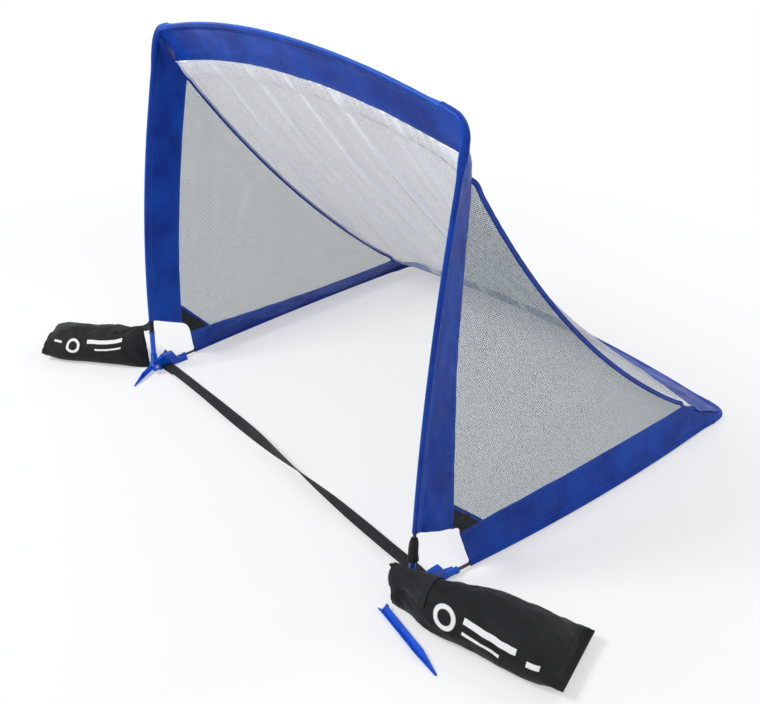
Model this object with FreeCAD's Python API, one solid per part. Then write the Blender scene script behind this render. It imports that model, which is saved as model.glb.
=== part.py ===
import FreeCAD, Part
import math
import os
from FreeCAD import Vector

# A pop-up training goal: a sprung rod frame in cloth sleeves, with an arch that folds back over a
# U-shaped base. X runs along the mouth, Y towards the back, Z up. The origin is the middle of the
# goal line, on the ground. Millimetres.

# ---- frame lines -------------------------------------------------------------------------------
mouth_width = 1200.0          # between the two posts where they meet the ground
post_height = 1000.0          # ground to the corner of post and crossbar
lean_back = 159.0             # how far that corner stands behind the goal line
top_inset = 19.0              # how far it stands inside the foot of its post
post_bow_forward = 26.0       # belly of a post, towards the front
post_bow_outward = 8.0        # belly of a post, sideways
crossbar_rise = 65.0          # arch of the crossbar
crossbar_bow_forward = 13.0
base_depth = 1097.0           # goal line to the rear corners
base_offset = 12.0            # each base rod starts this far outside its post
rear_spread = 60.0            # each rear corner stands this far outside its post's foot
base_bow = 22.0               # belly of a side rod, sideways
base_sag = 4.6                # and down towards the ground
rear_bow = 66.0               # belly of the rear rod, backwards
base_front_height = 13.0      # side rod's centre at the front

# ---- rods and their corner ferrules ------------------------------------------------------------
rod_radius = 4.0
post_lead = 180.0             # a rod is straight where its fittings hold it
side_lead = 130.0
cross_lead = 100.0
side_span_count = 5                # straight spans that stand in for a rod's bow, posts and sides
cross_span_count = 8               # and for the crossbar and the rear rod
bend_span_count = 3                # and for a ferrule's bend
rod_side_count = 10                # flats of a rod where it is bowed
ferrule_radius = 7.0          # to its flats
ferrule_side_count = 12
ferrule_reach = 84.0          # from the corner to the end of each leg
ferrule_bend = {"top": 46.0, "rear": 32.0}     # radius of the bend
rod_gap_in_bend = 4.0         # rods stop short of the bend
fit_gap = 0.05                # rod in a ferrule or socket, radial

# ---- cloth -------------------------------------------------------------------------------------
cloth = 0.8                   # one wall of a rod channel
sleeve_side_count = 8              # flats of a channel
band_thickness = 1.6          # two layers sewn together
channel_gap = 0.6             # rod to its channel
seam_gap = 0.35               # between sewn neighbours
net_gap = 0.7                 # side nets, patches and hems to the bands they are sewn to
post_band = {"left": 98.0, "right": 105.0}     # from the rod's centre to the free edge
crossbar_band = 98.0
base_band = 95.0
rear_band = 98.0
rear_band_corner_extra = 42.0 # the rear band widens into its corners
crossbar_droop = 66.0         # crossbar band below the horizontal, degrees
rear_rise = 26.0              # rear band above the horizontal, degrees
post_sleeve_bottom = {"left": 182.0, "right": 166.0}   # height of the lower end at the rod
post_sleeve_slant = 34.0      # the lower end drops this much towards its free edge
base_sleeve_front = 155.0     # front end of a side sleeve at the rod, behind the goal line
base_sleeve_slant = 26.0      # the front end leans this much forward at its free edge
net_inset_front = {"left": 2.0, "right": -22.0}        # side panel's plane inside the frame's corners
net_inset_rear = {"left": 50.0, "right": 6.0}
net_inset_top = {"left": 6.0, "right": 66.0}
net_thickness = 1.2
back_net_thickness = 1.2
hem_sag = {"left": 50.0, "right": 84.0}        # sag of the diagonal hem
hem_span_count = 12
hem_width = 12.0
hem_thickness = 3.2
hem_end_gap = 3.5             # the folded tape stops this far from the bands
back_net_gap = 1.2            # from the bands' free edges
net_end_share = 0.012         # the net's corners come this share of a band's length short of its ends
back_net_lift = 46.0          # the middle of the back net hangs less than its edges
fold_count = 6
fold_step_count = 5                # points across one fold
back_net_row_count = 8             # strips across the back net's length, plus one
fold_height = 7.0
mesh_pitch = 87.0
mesh_gap = 64.0               # diagonal of one diamond gap
mesh_margin = 12.0
net_tip = 3.0                 # width of a side net where its hem comes to a band
patch_post_side = 56.0        # lengths of the black corner patch along its two bands
patch_base_side = 64.0
patch_hollow = 6.0            # its lower edge is cut hollow

# ---- corner hinge ------------------------------------------------------------------------------
pivot_height = 30.0
pin_radius = 3.0
pin_gap = 0.05                # running fit of the pin, radial
pin_head_radius = 5.0
pin_head = 1.6
pin_head_side_count = 12
ear_radius = 10.5
ear_thickness = 6.5
ear_gap = 0.5
tongue_width = 15.0
tongue_radius = 9.5
bridge_thickness = 2.8
post_socket_bottom = 66.0
post_socket_top = 143.0
post_socket_radius = 7.4
socket_floor = 6.0            # solid end below a rod
base_socket_front = 62.0
base_socket_end = 118.0
base_socket_radius = 7.5
rail_width = 15.0
rail_front = 20.0
rail_height = 10.0
lug_top = 45.0
lug_front = 30.0
lug_back = 84.0

# ---- webbing strap across the mouth ------------------------------------------------------------
strap_width = 30.0
strap_thickness = 1.6
strap_y = 46.0
strap_height = 18.0           # centre of the strap in mid span
strap_slot_gap = 0.35
strap_twist = 180.0           # degrees, over the middle of the span
strap_flat = 190.0            # untwisted length at each end
strap_bar_low = 3.6
strap_bar_high = 7.6
strap_window_high = 13.0

# ---- sand bags ---------------------------------------------------------------------------------
# half of a section through a filled bag, as shares of its width and height
bag_half_outline = ((0.2, 0.0), (0.05, 0.14), (0.0, 0.4), (0.06, 0.68), (0.22, 0.9), (0.5, 1.0))
bag_outline = bag_half_outline + tuple((1 - q, z) for q, z in bag_half_outline[-2::-1])
# along the bag, front edge, rear edge, underside, top: one row for each station
bag_stations = {
    "left": (
        (-4.0, 2.0, 22.0, 3.0, 146.0),
        (30.0, -4.0, 52.0, 0.0, 132.0),
        (100.0, -10.0, 104.0, 0.0, 112.0),
        (200.0, -10.0, 128.0, 0.0, 102.0),
        (300.0, -6.0, 138.0, 0.0, 92.0),
        (346.0, 4.0, 146.0, 8.0, 74.0),
    ),
    "right": (
        (-58.0, 6.0, 66.0, 14.5, 104.0),
        (-24.0, 20.0, 60.0, 2.0, 100.0),
        (50.0, -6.0, 98.0, 0.0, 94.0),
        (170.0, -16.0, 134.0, 0.0, 92.0),
        (290.0, -22.0, 142.0, 0.0, 80.0),
        (344.0, -14.0, 150.0, 10.0, 54.0),
    ),
}
bag_cloth = 1.4
sand_gap = 0.4
bag_corner = {"left": (40.0, -7.0), "right": (56.0, -66.0)}     # outwards from the post's foot, and back
bag_heading = {"left": 220.4, "right": 19.3}
flap_start = 6.0
flap_end = 116.0
flap_thickness = 1.5
flap_gap = 0.35
flap_low = 58.0
flap_side = 30.0              # the flap starts this far in from the bag's front edge
flap_reach = 220.0            # size of the block that picks the flap out of the shell round the bag
loop_height = {"left": 28.0, "right": 46.0}
loop_thickness = 1.5
loop_gap = 0.3
loop_side_count = 12
tail_target = {"left": (12.0, 14.0), "right": (-10.0, 52.0)}   # where its end lies: along, across
tail_depth = 22.0             # how far the end reaches down the bag
post_socket_rim = 1.0
loop_bottom = {"left": 150.0, "right": 96.0}

# ---- stakes ------------------------------------------------------------------------------------
stake_length = 204.0
stake_leg = 15.0
stake_wall = 2.4
stake_tip_leg = 4.0
stake_head_leg = 17.5
stake_point = 62.0
stake_head = 10.0
# outwards from the post's foot, back, and heading
stake_place = {"left": (81.5, 89.0, 302.5), "right": (0.0, -78.0, -8.2)}

SIDES = (("left", -1.0), ("right", 1.0))
X, Y, Z = Vector(1, 0, 0), Vector(0, 1, 0), Vector(0, 0, 1)

channel_radius = rod_radius + channel_gap
channel_outer = channel_radius + cloth
hood_inner = ferrule_radius / math.cos(math.pi / ferrule_side_count) + 0.3
hood_outer = hood_inner + cloth
hood_overhang = 6.0           # the hood goes on past its ferrule's ends
hood_end_gap = 0.6
rear_height = hood_outer / math.cos(math.pi / sleeve_side_count)    # the rear corners lie on the ground
rod_flat = math.cos(math.pi / rod_side_count)
crossbar_way = Vector(0, math.cos(math.radians(crossbar_droop)), -math.sin(math.radians(crossbar_droop)))
rear_way = Vector(0, -math.cos(math.radians(rear_rise)), math.sin(math.radians(rear_rise)))

os.makedirs("parts", exist_ok=True)


def save(name, shape):
    solids = shape.Solids
    if len(solids) == 1:
        shape = solids[0]
    if not shape.isValid() or shape.Volume <= 0:
        print("CHECK", name, "valid", shape.isValid(), "volume", shape.Volume)
    shape.exportStep("parts/" + name + ".step")
    return shape


class Rod:
    """Centre line of a bowed rod: straight leads into its fittings and an arc between them.

    s is the distance from the start. Outside the rod its leads simply go on.
    """

    def __init__(self, start, end, bow, lead, spans):
        self.start, self.end, self.lead = start, end, lead
        chord = end - start
        self.axis = Vector(chord).normalize()
        rise = bow - self.axis * bow.dot(self.axis)
        self.up = Vector(rise).normalize()
        self.side = self.axis.cross(self.up)
        low, high = 1e-4, 1.0
        for _ in range(50):
            angle = (low + high) / 2
            radius = (chord.Length / 2 - lead * math.cos(angle)) / math.sin(angle)
            if lead * math.sin(angle) + radius * (1 - math.cos(angle)) < rise.Length:
                low = angle
            else:
                high = angle
        self.angle, self.radius = angle, radius
        height = lead * math.sin(angle) - radius * math.cos(angle)
        self.centre = (start + end) * 0.5 + self.up * height
        self.length = 2 * lead + 2 * radius * angle
        step = 2 * radius * angle / spans
        self.own_stations = [0.0] + [lead + i * step for i in range(spans + 1)] + [self.length]

    def turn(self, s):
        return max(-self.angle, min(self.angle, (s - self.lead) / self.radius - self.angle))

    def along(self, s):
        turn = self.turn(s)
        return self.axis * math.cos(turn) - self.up * math.sin(turn)

    def at(self, s):
        if s < self.lead:
            return self.start + self.along(s) * s
        if s > self.length - self.lead:
            return self.end + self.along(s) * (s - self.length)
        turn = self.turn(s)
        return self.centre + (self.up * math.cos(turn) + self.axis * math.sin(turn)) * self.radius

    def stations(self, s0, s1):
        """s0, s1 and the rod's own stations between them, which all that follows it shares."""
        return [s0] + [s for s in self.own_stations if s0 + 0.5 < s < s1 - 0.5] + [s1]

    def is_straight(self, s0, s1):
        return s1 <= self.lead + 0.5 or s0 >= self.length - self.lead - 0.5

    def solve(self, test, s0, s1):
        """Where test(s), which rises from below to above zero between s0 and s1, is zero."""
        for _ in range(50):
            middle = (s0 + s1) / 2
            if test(middle) < 0:
                s0 = middle
            else:
                s1 = middle
        return (s0 + s1) / 2


def around(along, across, degrees):
    """A direction square to along, this far round from across."""
    turn = math.radians(degrees)
    return across * math.cos(turn) + along.cross(across).normalize() * math.sin(turn)


def flat_ring(centre, along, across, radius, sides):
    """Corners of an even-sided ring whose flats lie at this radius, one of them on the across side."""
    step = 360.0 / sides
    reach = radius / math.cos(math.radians(step / 2))
    return [centre + around(along, across, step * (i + 0.5)) * reach for i in range(sides)]


def polygon(points):
    return Part.makePolygon(list(points) + [points[0]])


def prism(points, way):
    return Part.Face(polygon(points)).extrude(way)


def flat_face(points):
    """A flat face whose normal points to where its corners are seen to go round to the left."""
    face = Part.Face(polygon(points))
    normal = Vector()
    for one, two in zip(points, points[1:] + points[:1]):
        normal += (one - points[0]).cross(two - points[0])
    if face.normalAt(0, 0).dot(normal) < 0:
        face.reverse()
    return face


def three_cornered(a, b, c, d):
    """Two flat faces over four corners given in turn."""
    return [flat_face([a, b, c]), flat_face([a, c, d])]


def closed(faces):
    """The solid inside a skin of flat faces that all look outwards, or all inwards."""
    shell = Part.makeShell(faces)
    shell.sewShape()
    solid = Part.Solid(Part.Shell(shell.Faces))
    if solid.Volume < 0:
        solid.reverse()
    return solid


def faceted(rows, turned=()):
    """A solid through closed rings of points, all with the same count.

    The four-cornered faces that end at a turned point are split along their other diagonal.
    """
    faces = [flat_face(rows[0][::-1]), flat_face(rows[-1])]
    for low, high in zip(rows, rows[1:]):
        for i in range(len(low)):
            corners = [low[i - 1], low[i], high[i], high[i - 1]]
            if i in turned:
                corners = corners[1:] + corners[:1]
            faces += three_cornered(*corners)
    return closed(faces)


def cylinder(start, way, length, radius):
    return Part.makeCylinder(radius, length, start, way)


# ---- the six rods ------------------------------------------------------------------------------
def corner(side, place):
    sign = dict(SIDES)[side]
    half = mouth_width / 2
    return {
        "foot": Vector(sign * half, 0, 0),
        "top": Vector(sign * (half - top_inset), lean_back, post_height),
        "base": Vector(sign * (half + base_offset), 0, base_front_height),
        "rear": Vector(sign * (half + rear_spread), base_depth, rear_height),
    }[place]


post = {}
side_rod = {}
for side, sign in SIDES:
    post[side] = Rod(corner(side, "foot"), corner(side, "top"),
                     Vector(sign * post_bow_outward, -post_bow_forward, 0), post_lead, side_span_count)
    side_rod[side] = Rod(corner(side, "base"), corner(side, "rear"),
                         Vector(sign * base_bow, 0, -base_sag), side_lead, side_span_count)
crossbar = Rod(corner("left", "top"), corner("right", "top"),
               Vector(0, -crossbar_bow_forward, crossbar_rise), cross_lead, cross_span_count)
rear = Rod(corner("left", "rear"), corner("right", "rear"), Vector(0, rear_bow, 0),
           cross_lead, cross_span_count)


class Elbow:
    """Leg, bend and leg that join two rods at a corner."""

    def __init__(self, point, way_one, way_two, bend):
        half = way_one.getAngle(way_two) / 2
        self.point, self.way_one, self.way_two, self.bend = point, way_one, way_two, bend
        self.set_back = bend / math.tan(half)
        inward = (way_one + way_two).normalize()
        self.centre = point + inward * (bend / math.sin(half))
        self.out_one = (point + way_one * self.set_back - self.centre).normalize()
        self.onward = way_one * -1.0
        self.sweep = math.pi - 2 * half
        self.side = self.out_one.cross(self.onward)

    def frames(self, reach):
        """Centre and onward way of rings along the elbow, from one leg's end to the other's."""
        rows = [(self.point + self.way_one * reach, self.onward)]
        for i in range(bend_span_count + 1):
            turn = self.sweep * i / bend_span_count
            out = self.out_one * math.cos(turn) + self.onward * math.sin(turn)
            onward = self.onward * math.cos(turn) - self.out_one * math.sin(turn)
            rows.append((self.centre + out * self.bend, onward))
        rows.append((self.point + self.way_two * reach, self.way_two))
        return rows

    def bar(self, radius, reach, sides):
        """Flat-sided bar whose legs end at this distance from the corner."""
        return faceted([flat_ring(centre, onward, self.side, radius, sides)
                        for centre, onward in self.frames(reach)])


top_elbow, rear_elbow = {}, {}
for side, sign in SIDES:
    rod_end = 0.0 if sign < 0 else crossbar.length
    top_elbow[side] = Elbow(corner(side, "top"), post[side].along(post[side].length) * -1.0,
                            crossbar.along(rod_end) * -sign, ferrule_bend["top"])
    rod_end = 0.0 if sign < 0 else rear.length
    rear_elbow[side] = Elbow(corner(side, "rear"), side_rod[side].along(side_rod[side].length) * -1.0,
                             rear.along(rod_end) * -sign, ferrule_bend["rear"])
top_stop = top_elbow["left"].set_back + rod_gap_in_bend
rear_stop = rear_elbow["left"].set_back + rod_gap_in_bend
post_rod_start = post_socket_bottom + socket_floor
side_rod_start = base_socket_front + socket_floor


def rod_solid(rod, s0, s1, radius):
    """A bar along a rod: round in its straight leads, flat-sided where it is bowed."""
    if rod.is_straight(s0, s1):
        return cylinder(rod.at(s0), rod.along((s0 + s1) / 2), s1 - s0, radius)
    bow_start, bow_end = max(s0, rod.lead), min(s1, rod.length - rod.lead)
    bow = faceted([flat_ring(rod.at(s), rod.along(s), rod.side, radius * rod_flat, rod_side_count)
                   for s in rod.stations(bow_start, bow_end)])
    if s0 < bow_start:
        bow = bow.fuse(cylinder(rod.at(s0), rod.along(s0), bow_start - s0, radius))
    if s1 > bow_end:
        bow = bow.fuse(cylinder(rod.at(bow_end), rod.along(s1), s1 - bow_end, radius))
    return bow


def channel(rod, s0, s1, radius):
    """A flat-sided bar along a rod, for cutting a sleeve's channel."""
    return faceted([flat_ring(rod.at(s), rod.along(s), rod.side, radius, sleeve_side_count)
                    for s in rod.stations(s0, s1)])


rod_span = {"crossbar_rod": (crossbar, top_stop, crossbar.length - top_stop),
            "rear_rod": (rear, rear_stop, rear.length - rear_stop)}
for side, sign in SIDES:
    rod_span[side + "_post_rod"] = (post[side], post_rod_start, post[side].length - top_stop)
    rod_span[side + "_base_rod"] = (side_rod[side], side_rod_start,
                                    side_rod[side].length - rear_stop)
for name, (rod, s0, s1) in rod_span.items():
    save(name, rod_solid(rod, s0, s1, rod_radius))


def ferrule(elbow, stop):
    """Bent tube that holds a rod in each leg, left solid in its bend."""
    body = elbow.bar(ferrule_radius, ferrule_reach, ferrule_side_count)
    for way in (elbow.way_one, elbow.way_two):
        body = body.cut(cylinder(elbow.point + way * stop, way, ferrule_reach, rod_radius + fit_gap))
    return body


for side, sign in SIDES:
    save(side + "_top_ferrule", ferrule(top_elbow[side], top_stop))
    save(side + "_rear_ferrule", ferrule(rear_elbow[side], rear_stop))


# ---- side panel planes -------------------------------------------------------------------------
class SidePlane:
    """The flat side panel's plane, which the free edges of the post and base bands meet."""

    def __init__(self, side, sign):
        half = mouth_width / 2
        low = Vector(sign * (half - net_inset_front[side]), 0, 0)
        high = corner(side, "top") - X * sign * net_inset_top[side]
        back = Vector(sign * (half + rear_spread - net_inset_rear[side]), base_depth, 0)
        self.point = low
        self.inward = (back - low).cross(high - low).normalize()
        if self.inward.x * sign > 0:
            self.inward = self.inward * -1.0

    def band_way(self, rod, s, width, inner):
        """Direction square to the rod that brings a band of this width to the plane."""
        along = rod.along(s)
        across = (self.inward - along * self.inward.dot(along)).normalize()
        level = along.cross(across)
        if level.dot(inner) < 0:
            level = level * -1.0
        sine = (self.point - rod.at(s)).dot(self.inward) / (width * across.dot(self.inward))
        return across * sine + level * math.sqrt(1 - sine * sine), level

    def onto(self, place):
        return place + self.inward * (self.point - place).dot(self.inward)


plane = {side: SidePlane(side, sign) for side, sign in SIDES}


# ---- sleeves -----------------------------------------------------------------------------------
KEYHOLE_TURNED = (2,)         # so that both faces of a twisted band are split alike


def keyhole(centre, along, way, width):
    """Section of a sleeve: a flat-sided channel with a double band to one side."""
    half = along.cross(way).normalize() * (band_thickness / 2)
    near, far = centre + way * channel_outer, centre + way * width
    corners = flat_ring(centre, along, way, channel_outer, sleeve_side_count)
    return [far - half, far + half, near + half] + corners + [near - half]


def steps(s0, s1, count):
    return [s0 + (s1 - s0) * i / (count - 1) for i in range(count)]


def hood(elbow):
    """Cloth over a corner ferrule, drawn in round the rods at both ends."""
    shell = elbow.bar(hood_outer, ferrule_reach + hood_overhang, sleeve_side_count)
    shell = shell.cut(elbow.bar(hood_inner, ferrule_reach + hood_end_gap, sleeve_side_count))
    for way in (elbow.way_one, elbow.way_two):
        start = elbow.point + way * ferrule_reach
        end = start + way * 2 * hood_overhang
        shell = shell.cut(faceted([flat_ring(place, way, elbow.side, channel_radius, sleeve_side_count)
                                   for place in (start, end)]))
    return shell


def beyond(rod, way, out):
    """Everything on the out side of a band's surface, for trimming what meets it."""
    reach = 400.0
    line_of_rod = Part.makePolygon([rod.at(s) for s in rod.stations(-90.0, rod.length + 90.0)])
    block = line_of_rod.extrude(way * reach).extrude(out * reach)
    block.translate(out * -(band_thickness / 2 + seam_gap))
    return block


crossbar_out = X.cross(crossbar_way).normalize()
rear_out = rear_way.cross(X).normalize()


def rear_width(x):
    half = mouth_width / 2 + rear_spread
    return rear_band + rear_band_corner_extra * abs(x / half) ** 5


def level_band(rod, way, width_at, end_gap):
    """A band whose sections stand square across the goal, as on the crossbar and the rear rod."""
    sections = []
    for s in rod.stations(end_gap, rod.length - end_gap):
        centre = rod.at(s)
        sections.append(keyhole(centre, X, way, width_at(centre.x)))
    return faceted(sections, KEYHOLE_TURNED)


def crossbar_width(x):
    return crossbar_band


def band_edge(rod, way, width_at, s, gap):
    """A point off a cross band's free edge, which is straight between the rod's stations."""
    stations = rod.stations(seam_gap, rod.length - seam_gap)
    for one, two in zip(stations, stations[1:]):
        if s <= two:
            break
    share = (s - one) / (two - one)
    ends = [rod.at(t) + way * (width_at(rod.at(t).x) + gap) for t in (one, two)]
    return ends[0] * (1 - share) + ends[1] * share


def band_edge_on_plane(side, rod, way, width_at):
    """Where the free edge of the crossbar or rear band crosses the side panel's plane."""
    flat = plane[side]

    def depth(s):
        x = rod.at(s).x
        return (rod.at(s) + way * width_at(x) - flat.point).dot(flat.inward)

    middle = rod.length / 2
    if side == "left":
        s = rod.solve(depth, 0, middle)
    else:
        s = rod.solve(lambda t: -depth(t), middle, rod.length)
    return rod.at(s) + way * width_at(rod.at(s).x)


def mitre_block(side, sign, rod, way, width_at, place):
    """What lies outside a cross band's mitred end, from its corner to the side panel's plane."""
    start = corner(side, place)
    edge_way = (band_edge_on_plane(side, rod, way, width_at) - start).normalize()
    out = X.cross(way).normalize()
    away = edge_way.cross(out).normalize()
    if away.x * sign < 0:
        away = away * -1.0
    reach = 300.0
    low = start - edge_way * reach - out * reach
    return prism([low, low + edge_way * 2 * reach, low + edge_way * 2 * reach + out * 2 * reach,
                  low + out * 2 * reach], away * reach)


def cross_sleeve(rod, way, width_at, elbows, place):
    body = level_band(rod, way, width_at, seam_gap)
    body = body.cut(channel(rod, 0, rod.length, channel_radius))
    for side, sign in SIDES:
        body = body.cut(mitre_block(side, sign, rod, way, width_at, place))
        body = body.cut(elbows[side].bar(hood_inner, ferrule_reach + hood_end_gap, sleeve_side_count))
        body = body.fuse(hood(elbows[side]))
    return body.removeSplitter()


crossbar_sleeve = cross_sleeve(crossbar, crossbar_way, crossbar_width, top_elbow, "top")
save("crossbar_sleeve", crossbar_sleeve)
rear_sleeve = cross_sleeve(rear, rear_way, rear_width, rear_elbow, "rear")
save("rear_sleeve", rear_sleeve)


def slant_cut(side, rod, s0, width, inner, slant):
    """What lies before a band's slanted end, through the rod at s0."""
    along = rod.along(s0)
    way, level = plane[side].band_way(rod, s0, width, inner)
    edge_way = (way * width - along * slant).normalize()
    flat = edge_way.cross(along).normalize()
    ahead = flat.cross(edge_way).normalize()
    if ahead.dot(along) > 0:
        ahead = ahead * -1.0
    reach = 300.0
    start = rod.at(s0) - edge_way * reach - flat * reach
    return prism([start, start + edge_way * 2 * reach, start + edge_way * 2 * reach + flat * 2 * reach,
                  start + flat * 2 * reach], ahead * reach)


def edge_band(side, rod, s0, s1, width, inner, slant, trim, elbow):
    """A post or side sleeve, slanted at its start and trimmed to the band across its end."""
    sections = []
    for s in rod.stations(s0 - slant - 12.0, s1):
        way, level = plane[side].band_way(rod, s, width, inner)
        sections.append(keyhole(rod.at(s), rod.along(s), way, width))
    body = faceted(sections, KEYHOLE_TURNED)
    body = body.cut(slant_cut(side, rod, s0, width, inner, slant))
    body = body.cut(channel(rod, s0 - slant - 20.0, rod.length, channel_radius))
    body = body.cut(elbow.bar(hood_outer + seam_gap, ferrule_reach + hood_overhang + seam_gap, sleeve_side_count))
    body = body.cut(trim)
    pieces = sorted(body.Solids, key=lambda solid: solid.Volume)
    return pieces[-1].removeSplitter()


sleeve_bottom = {side: post[side].solve(lambda s: post[side].at(s).z - post_sleeve_bottom[side],
                                        0, post[side].length) for side, sign in SIDES}
sleeve_front = {side: side_rod[side].solve(lambda s: side_rod[side].at(s).y - base_sleeve_front,
                                           0, side_rod[side].length) for side, sign in SIDES}
above_crossbar = beyond(crossbar, crossbar_way, crossbar_out)
above_rear = beyond(rear, rear_way, rear_out)
for side, sign in SIDES:
    save(side + "_post_sleeve", edge_band(
        side, post[side], sleeve_bottom[side], post[side].length, post_band[side], Y,
        post_sleeve_slant, above_crossbar, top_elbow[side]))
    save(side + "_base_sleeve", edge_band(
        side, side_rod[side], sleeve_front[side], side_rod[side].length, base_band, Z,
        base_sleeve_slant, above_rear, rear_elbow[side]))


# ---- side nets, hems and corner patches ----------------------------------------------------------
def free_edge(side, rod, s, width, inner, gap):
    way, level = plane[side].band_way(rod, s, width, inner)
    return rod.at(s) + way * width + level * gap


def edge_points(side, rod, s0, s1, width, inner, gap):
    return [plane[side].onto(free_edge(side, rod, s, width, inner, gap)) for s in rod.stations(s0, s1)]


class SidePanel:
    def __init__(self, side, sign):
        flat = plane[side]
        start = band_edge_on_plane(side, crossbar, crossbar_way, crossbar_width)
        finish = band_edge_on_plane(side, rear, rear_way, rear_width)
        start = flat.onto(start + crossbar_way * (hem_width / 2 + 1.0))
        finish = flat.onto(finish + rear_way * (hem_width / 2 + 1.0))
        chord = finish - start
        down = flat.inward.cross(chord).normalize()
        if down.z > 0:
            down = down * -1.0
        self.hem = Rod(start, finish, down * hem_sag[side], 0.0, hem_span_count)
        middle = self.hem.length / 2
        self.inner = 1.0 if self.hem.side.cross(self.hem.along(middle)).dot(down) > 0 else -1.0
        self.side, self.sign, self.flat = side, sign, flat

    def hem_line(self, distance, s0, s1):
        """Points along the hem, moved this far in its plane towards the side panel."""
        points = []
        for s in self.hem.stations(s0, s1):
            square = self.hem.side.cross(self.hem.along(s)) * self.inner
            points.append(self.hem.at(s) + square * distance)
        return points

    def edges(self, gap):
        """Free edges of the post and side bands as lists of points, up to the trimmed ends."""
        side = self.side
        rod, up = post[side], side_rod[side]
        bottom = sleeve_bottom[side] - post_sleeve_slant
        front = sleeve_front[side] - base_sleeve_slant

        near_end = 0.02 if self.sign < 0 else 0.98

        def over_crossbar(s):
            place = free_edge(side, rod, s, post_band[side], Y, 0)
            return (place - crossbar.at(crossbar.length * near_end)).dot(crossbar_out)

        def over_rear(s):
            place = free_edge(side, up, s, base_band, Z, 0)
            return (place - rear.at(rear.length * near_end)).dot(rear_out)

        top = rod.solve(over_crossbar, rod.length / 2, rod.length)
        back = up.solve(over_rear, up.length / 2, up.length)
        post_line = edge_points(side, rod, bottom, top, post_band[side], Y, gap)
        base_line = edge_points(side, up, front, back, base_band, Z, gap)
        return post_line, base_line

    def hem_reach(self, distance, least):
        """Where a line this far off the hem stays at least so far from both bands' free edges."""
        post_line, base_line = self.edges(0.0)
        middle = self.hem.length / 2

        def room(points, s):
            step = (points[-1] - points[-2]).normalize()
            away = step.cross(self.flat.inward)
            if away.dot(self.hem.at(middle) - points[-1]) < 0:
                away = away * -1.0
            return (self.hem_line(distance, s, s)[0] - points[-1]).dot(away) - least

        start = self.hem.solve(lambda s: room(post_line, s), 0, middle)
        end = self.hem.solve(lambda s: -room(base_line, s), middle, self.hem.length)
        return start, end


def hem_binding(panel):
    half = hem_width / 2
    reaches = [panel.hem_reach(off, hem_end_gap) for off in (-half, half)]
    start, end = max(reach[0] for reach in reaches), min(reach[1] for reach in reaches)
    outline = panel.hem_line(half, start, end) + panel.hem_line(-half, start, end)[::-1]
    drop = panel.flat.inward * (hem_thickness / 2)
    return prism([p - drop for p in outline], drop * 2)


def distance_to_lines(place, points):
    best = 1e9
    for one, two in zip(points, points[1:] + points[:1]):
        step = two - one
        share = max(0.0, min(1.0, (place - one).dot(step) / step.dot(step)))
        best = min(best, (place - one - step * share).Length)
    return best


def is_inside(place, points, flat):
    turn = 0.0
    for one, two in zip(points, points[1:] + points[:1]):
        a, b = one - place, two - place
        turn += math.atan2(a.cross(b).dot(flat.inward), a.dot(b))
    return abs(turn) > math.pi


def side_net(panel):
    flat = panel.flat
    post_line, base_line = panel.edges(net_gap)
    post_cut = patch_post_side + seam_gap
    base_cut = patch_base_side + seam_gap
    low_post = [p for p in post_line if (p - post_line[0]).Length > post_cut + 5.0]
    post_start = post_line[0] + (post_line[1] - post_line[0]).normalize() * post_cut
    low_base = [p for p in base_line if (p - base_line[0]).Length > base_cut + 5.0]
    base_start = base_line[0] + (base_line[1] - base_line[0]).normalize() * base_cut
    post_points = [post_start] + low_post
    base_points = [base_start] + low_base
    off = hem_width / 2 + seam_gap
    hem_start, hem_end = panel.hem_reach(off, net_tip)

    def end_beside(points, place):
        """The line's last point moved back along it to lie beside this place, clear of its end."""
        step = (points[-1] - points[-2]).normalize()
        reach = min((place - points[-2]).dot(step), (points[-1] - points[-2]).Length - net_tip)
        return points[:-1] + [points[-2] + step * reach]

    hem_line = panel.hem_line(off, max(hem_start, net_tip), min(hem_end, panel.hem.length - net_tip))
    post_points = end_beside(post_points, hem_line[0])
    base_points = end_beside(base_points, hem_line[-1])
    outline = post_points + hem_line + base_points[::-1]
    right = (base_line[-1] - base_line[0]).normalize()
    up = flat.inward.cross(right).normalize()
    if up.z < 0:
        up = up * -1.0
    gaps = []
    rows = int(post_height / (mesh_pitch / 2)) + 1
    columns = int(base_depth / mesh_pitch) + 1
    half = mesh_gap / 2
    origin = flat.onto(base_line[0])
    for row in range(rows):
        for column in range(-4, columns):
            shift = mesh_pitch / 2 if row % 2 else 0.0
            centre = origin + right * (column * mesh_pitch + shift) + up * (row * mesh_pitch / 2)
            points = [centre + right * half, centre + up * half, centre - right * half, centre - up * half]
            if all(is_inside(p, outline, flat) and distance_to_lines(p, outline) > mesh_margin
                   for p in points):
                gaps.append(polygon(points))
    face = Part.Face([polygon(outline)] + gaps)
    face.validate()
    face.translate(flat.inward * (-net_thickness / 2))
    return face.extrude(flat.inward * net_thickness)


def corner_patch(panel):
    flat = panel.flat
    post_line, base_line = panel.edges(net_gap)
    post_step = (post_line[1] - post_line[0]).normalize()
    base_step = (base_line[1] - base_line[0]).normalize()
    low, far = flat.onto(post_line[0]), flat.onto(base_line[0])
    high = flat.onto(post_line[0] + post_step * patch_post_side)
    back = flat.onto(base_line[0] + base_step * patch_base_side)
    lower = (far - low).cross(flat.inward).normalize()
    if lower.dot(high - low) < 0:
        lower = lower * -1.0
    hollow = Part.Arc(far, (low + far) * 0.5 + lower * patch_hollow, low).toShape()
    rest = Part.makePolygon([low, high, back, far])
    face = Part.Face(Part.Wire(rest.Edges + [hollow]))
    face.translate(flat.inward * (-band_thickness / 2))
    return face.extrude(flat.inward * band_thickness)


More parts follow.
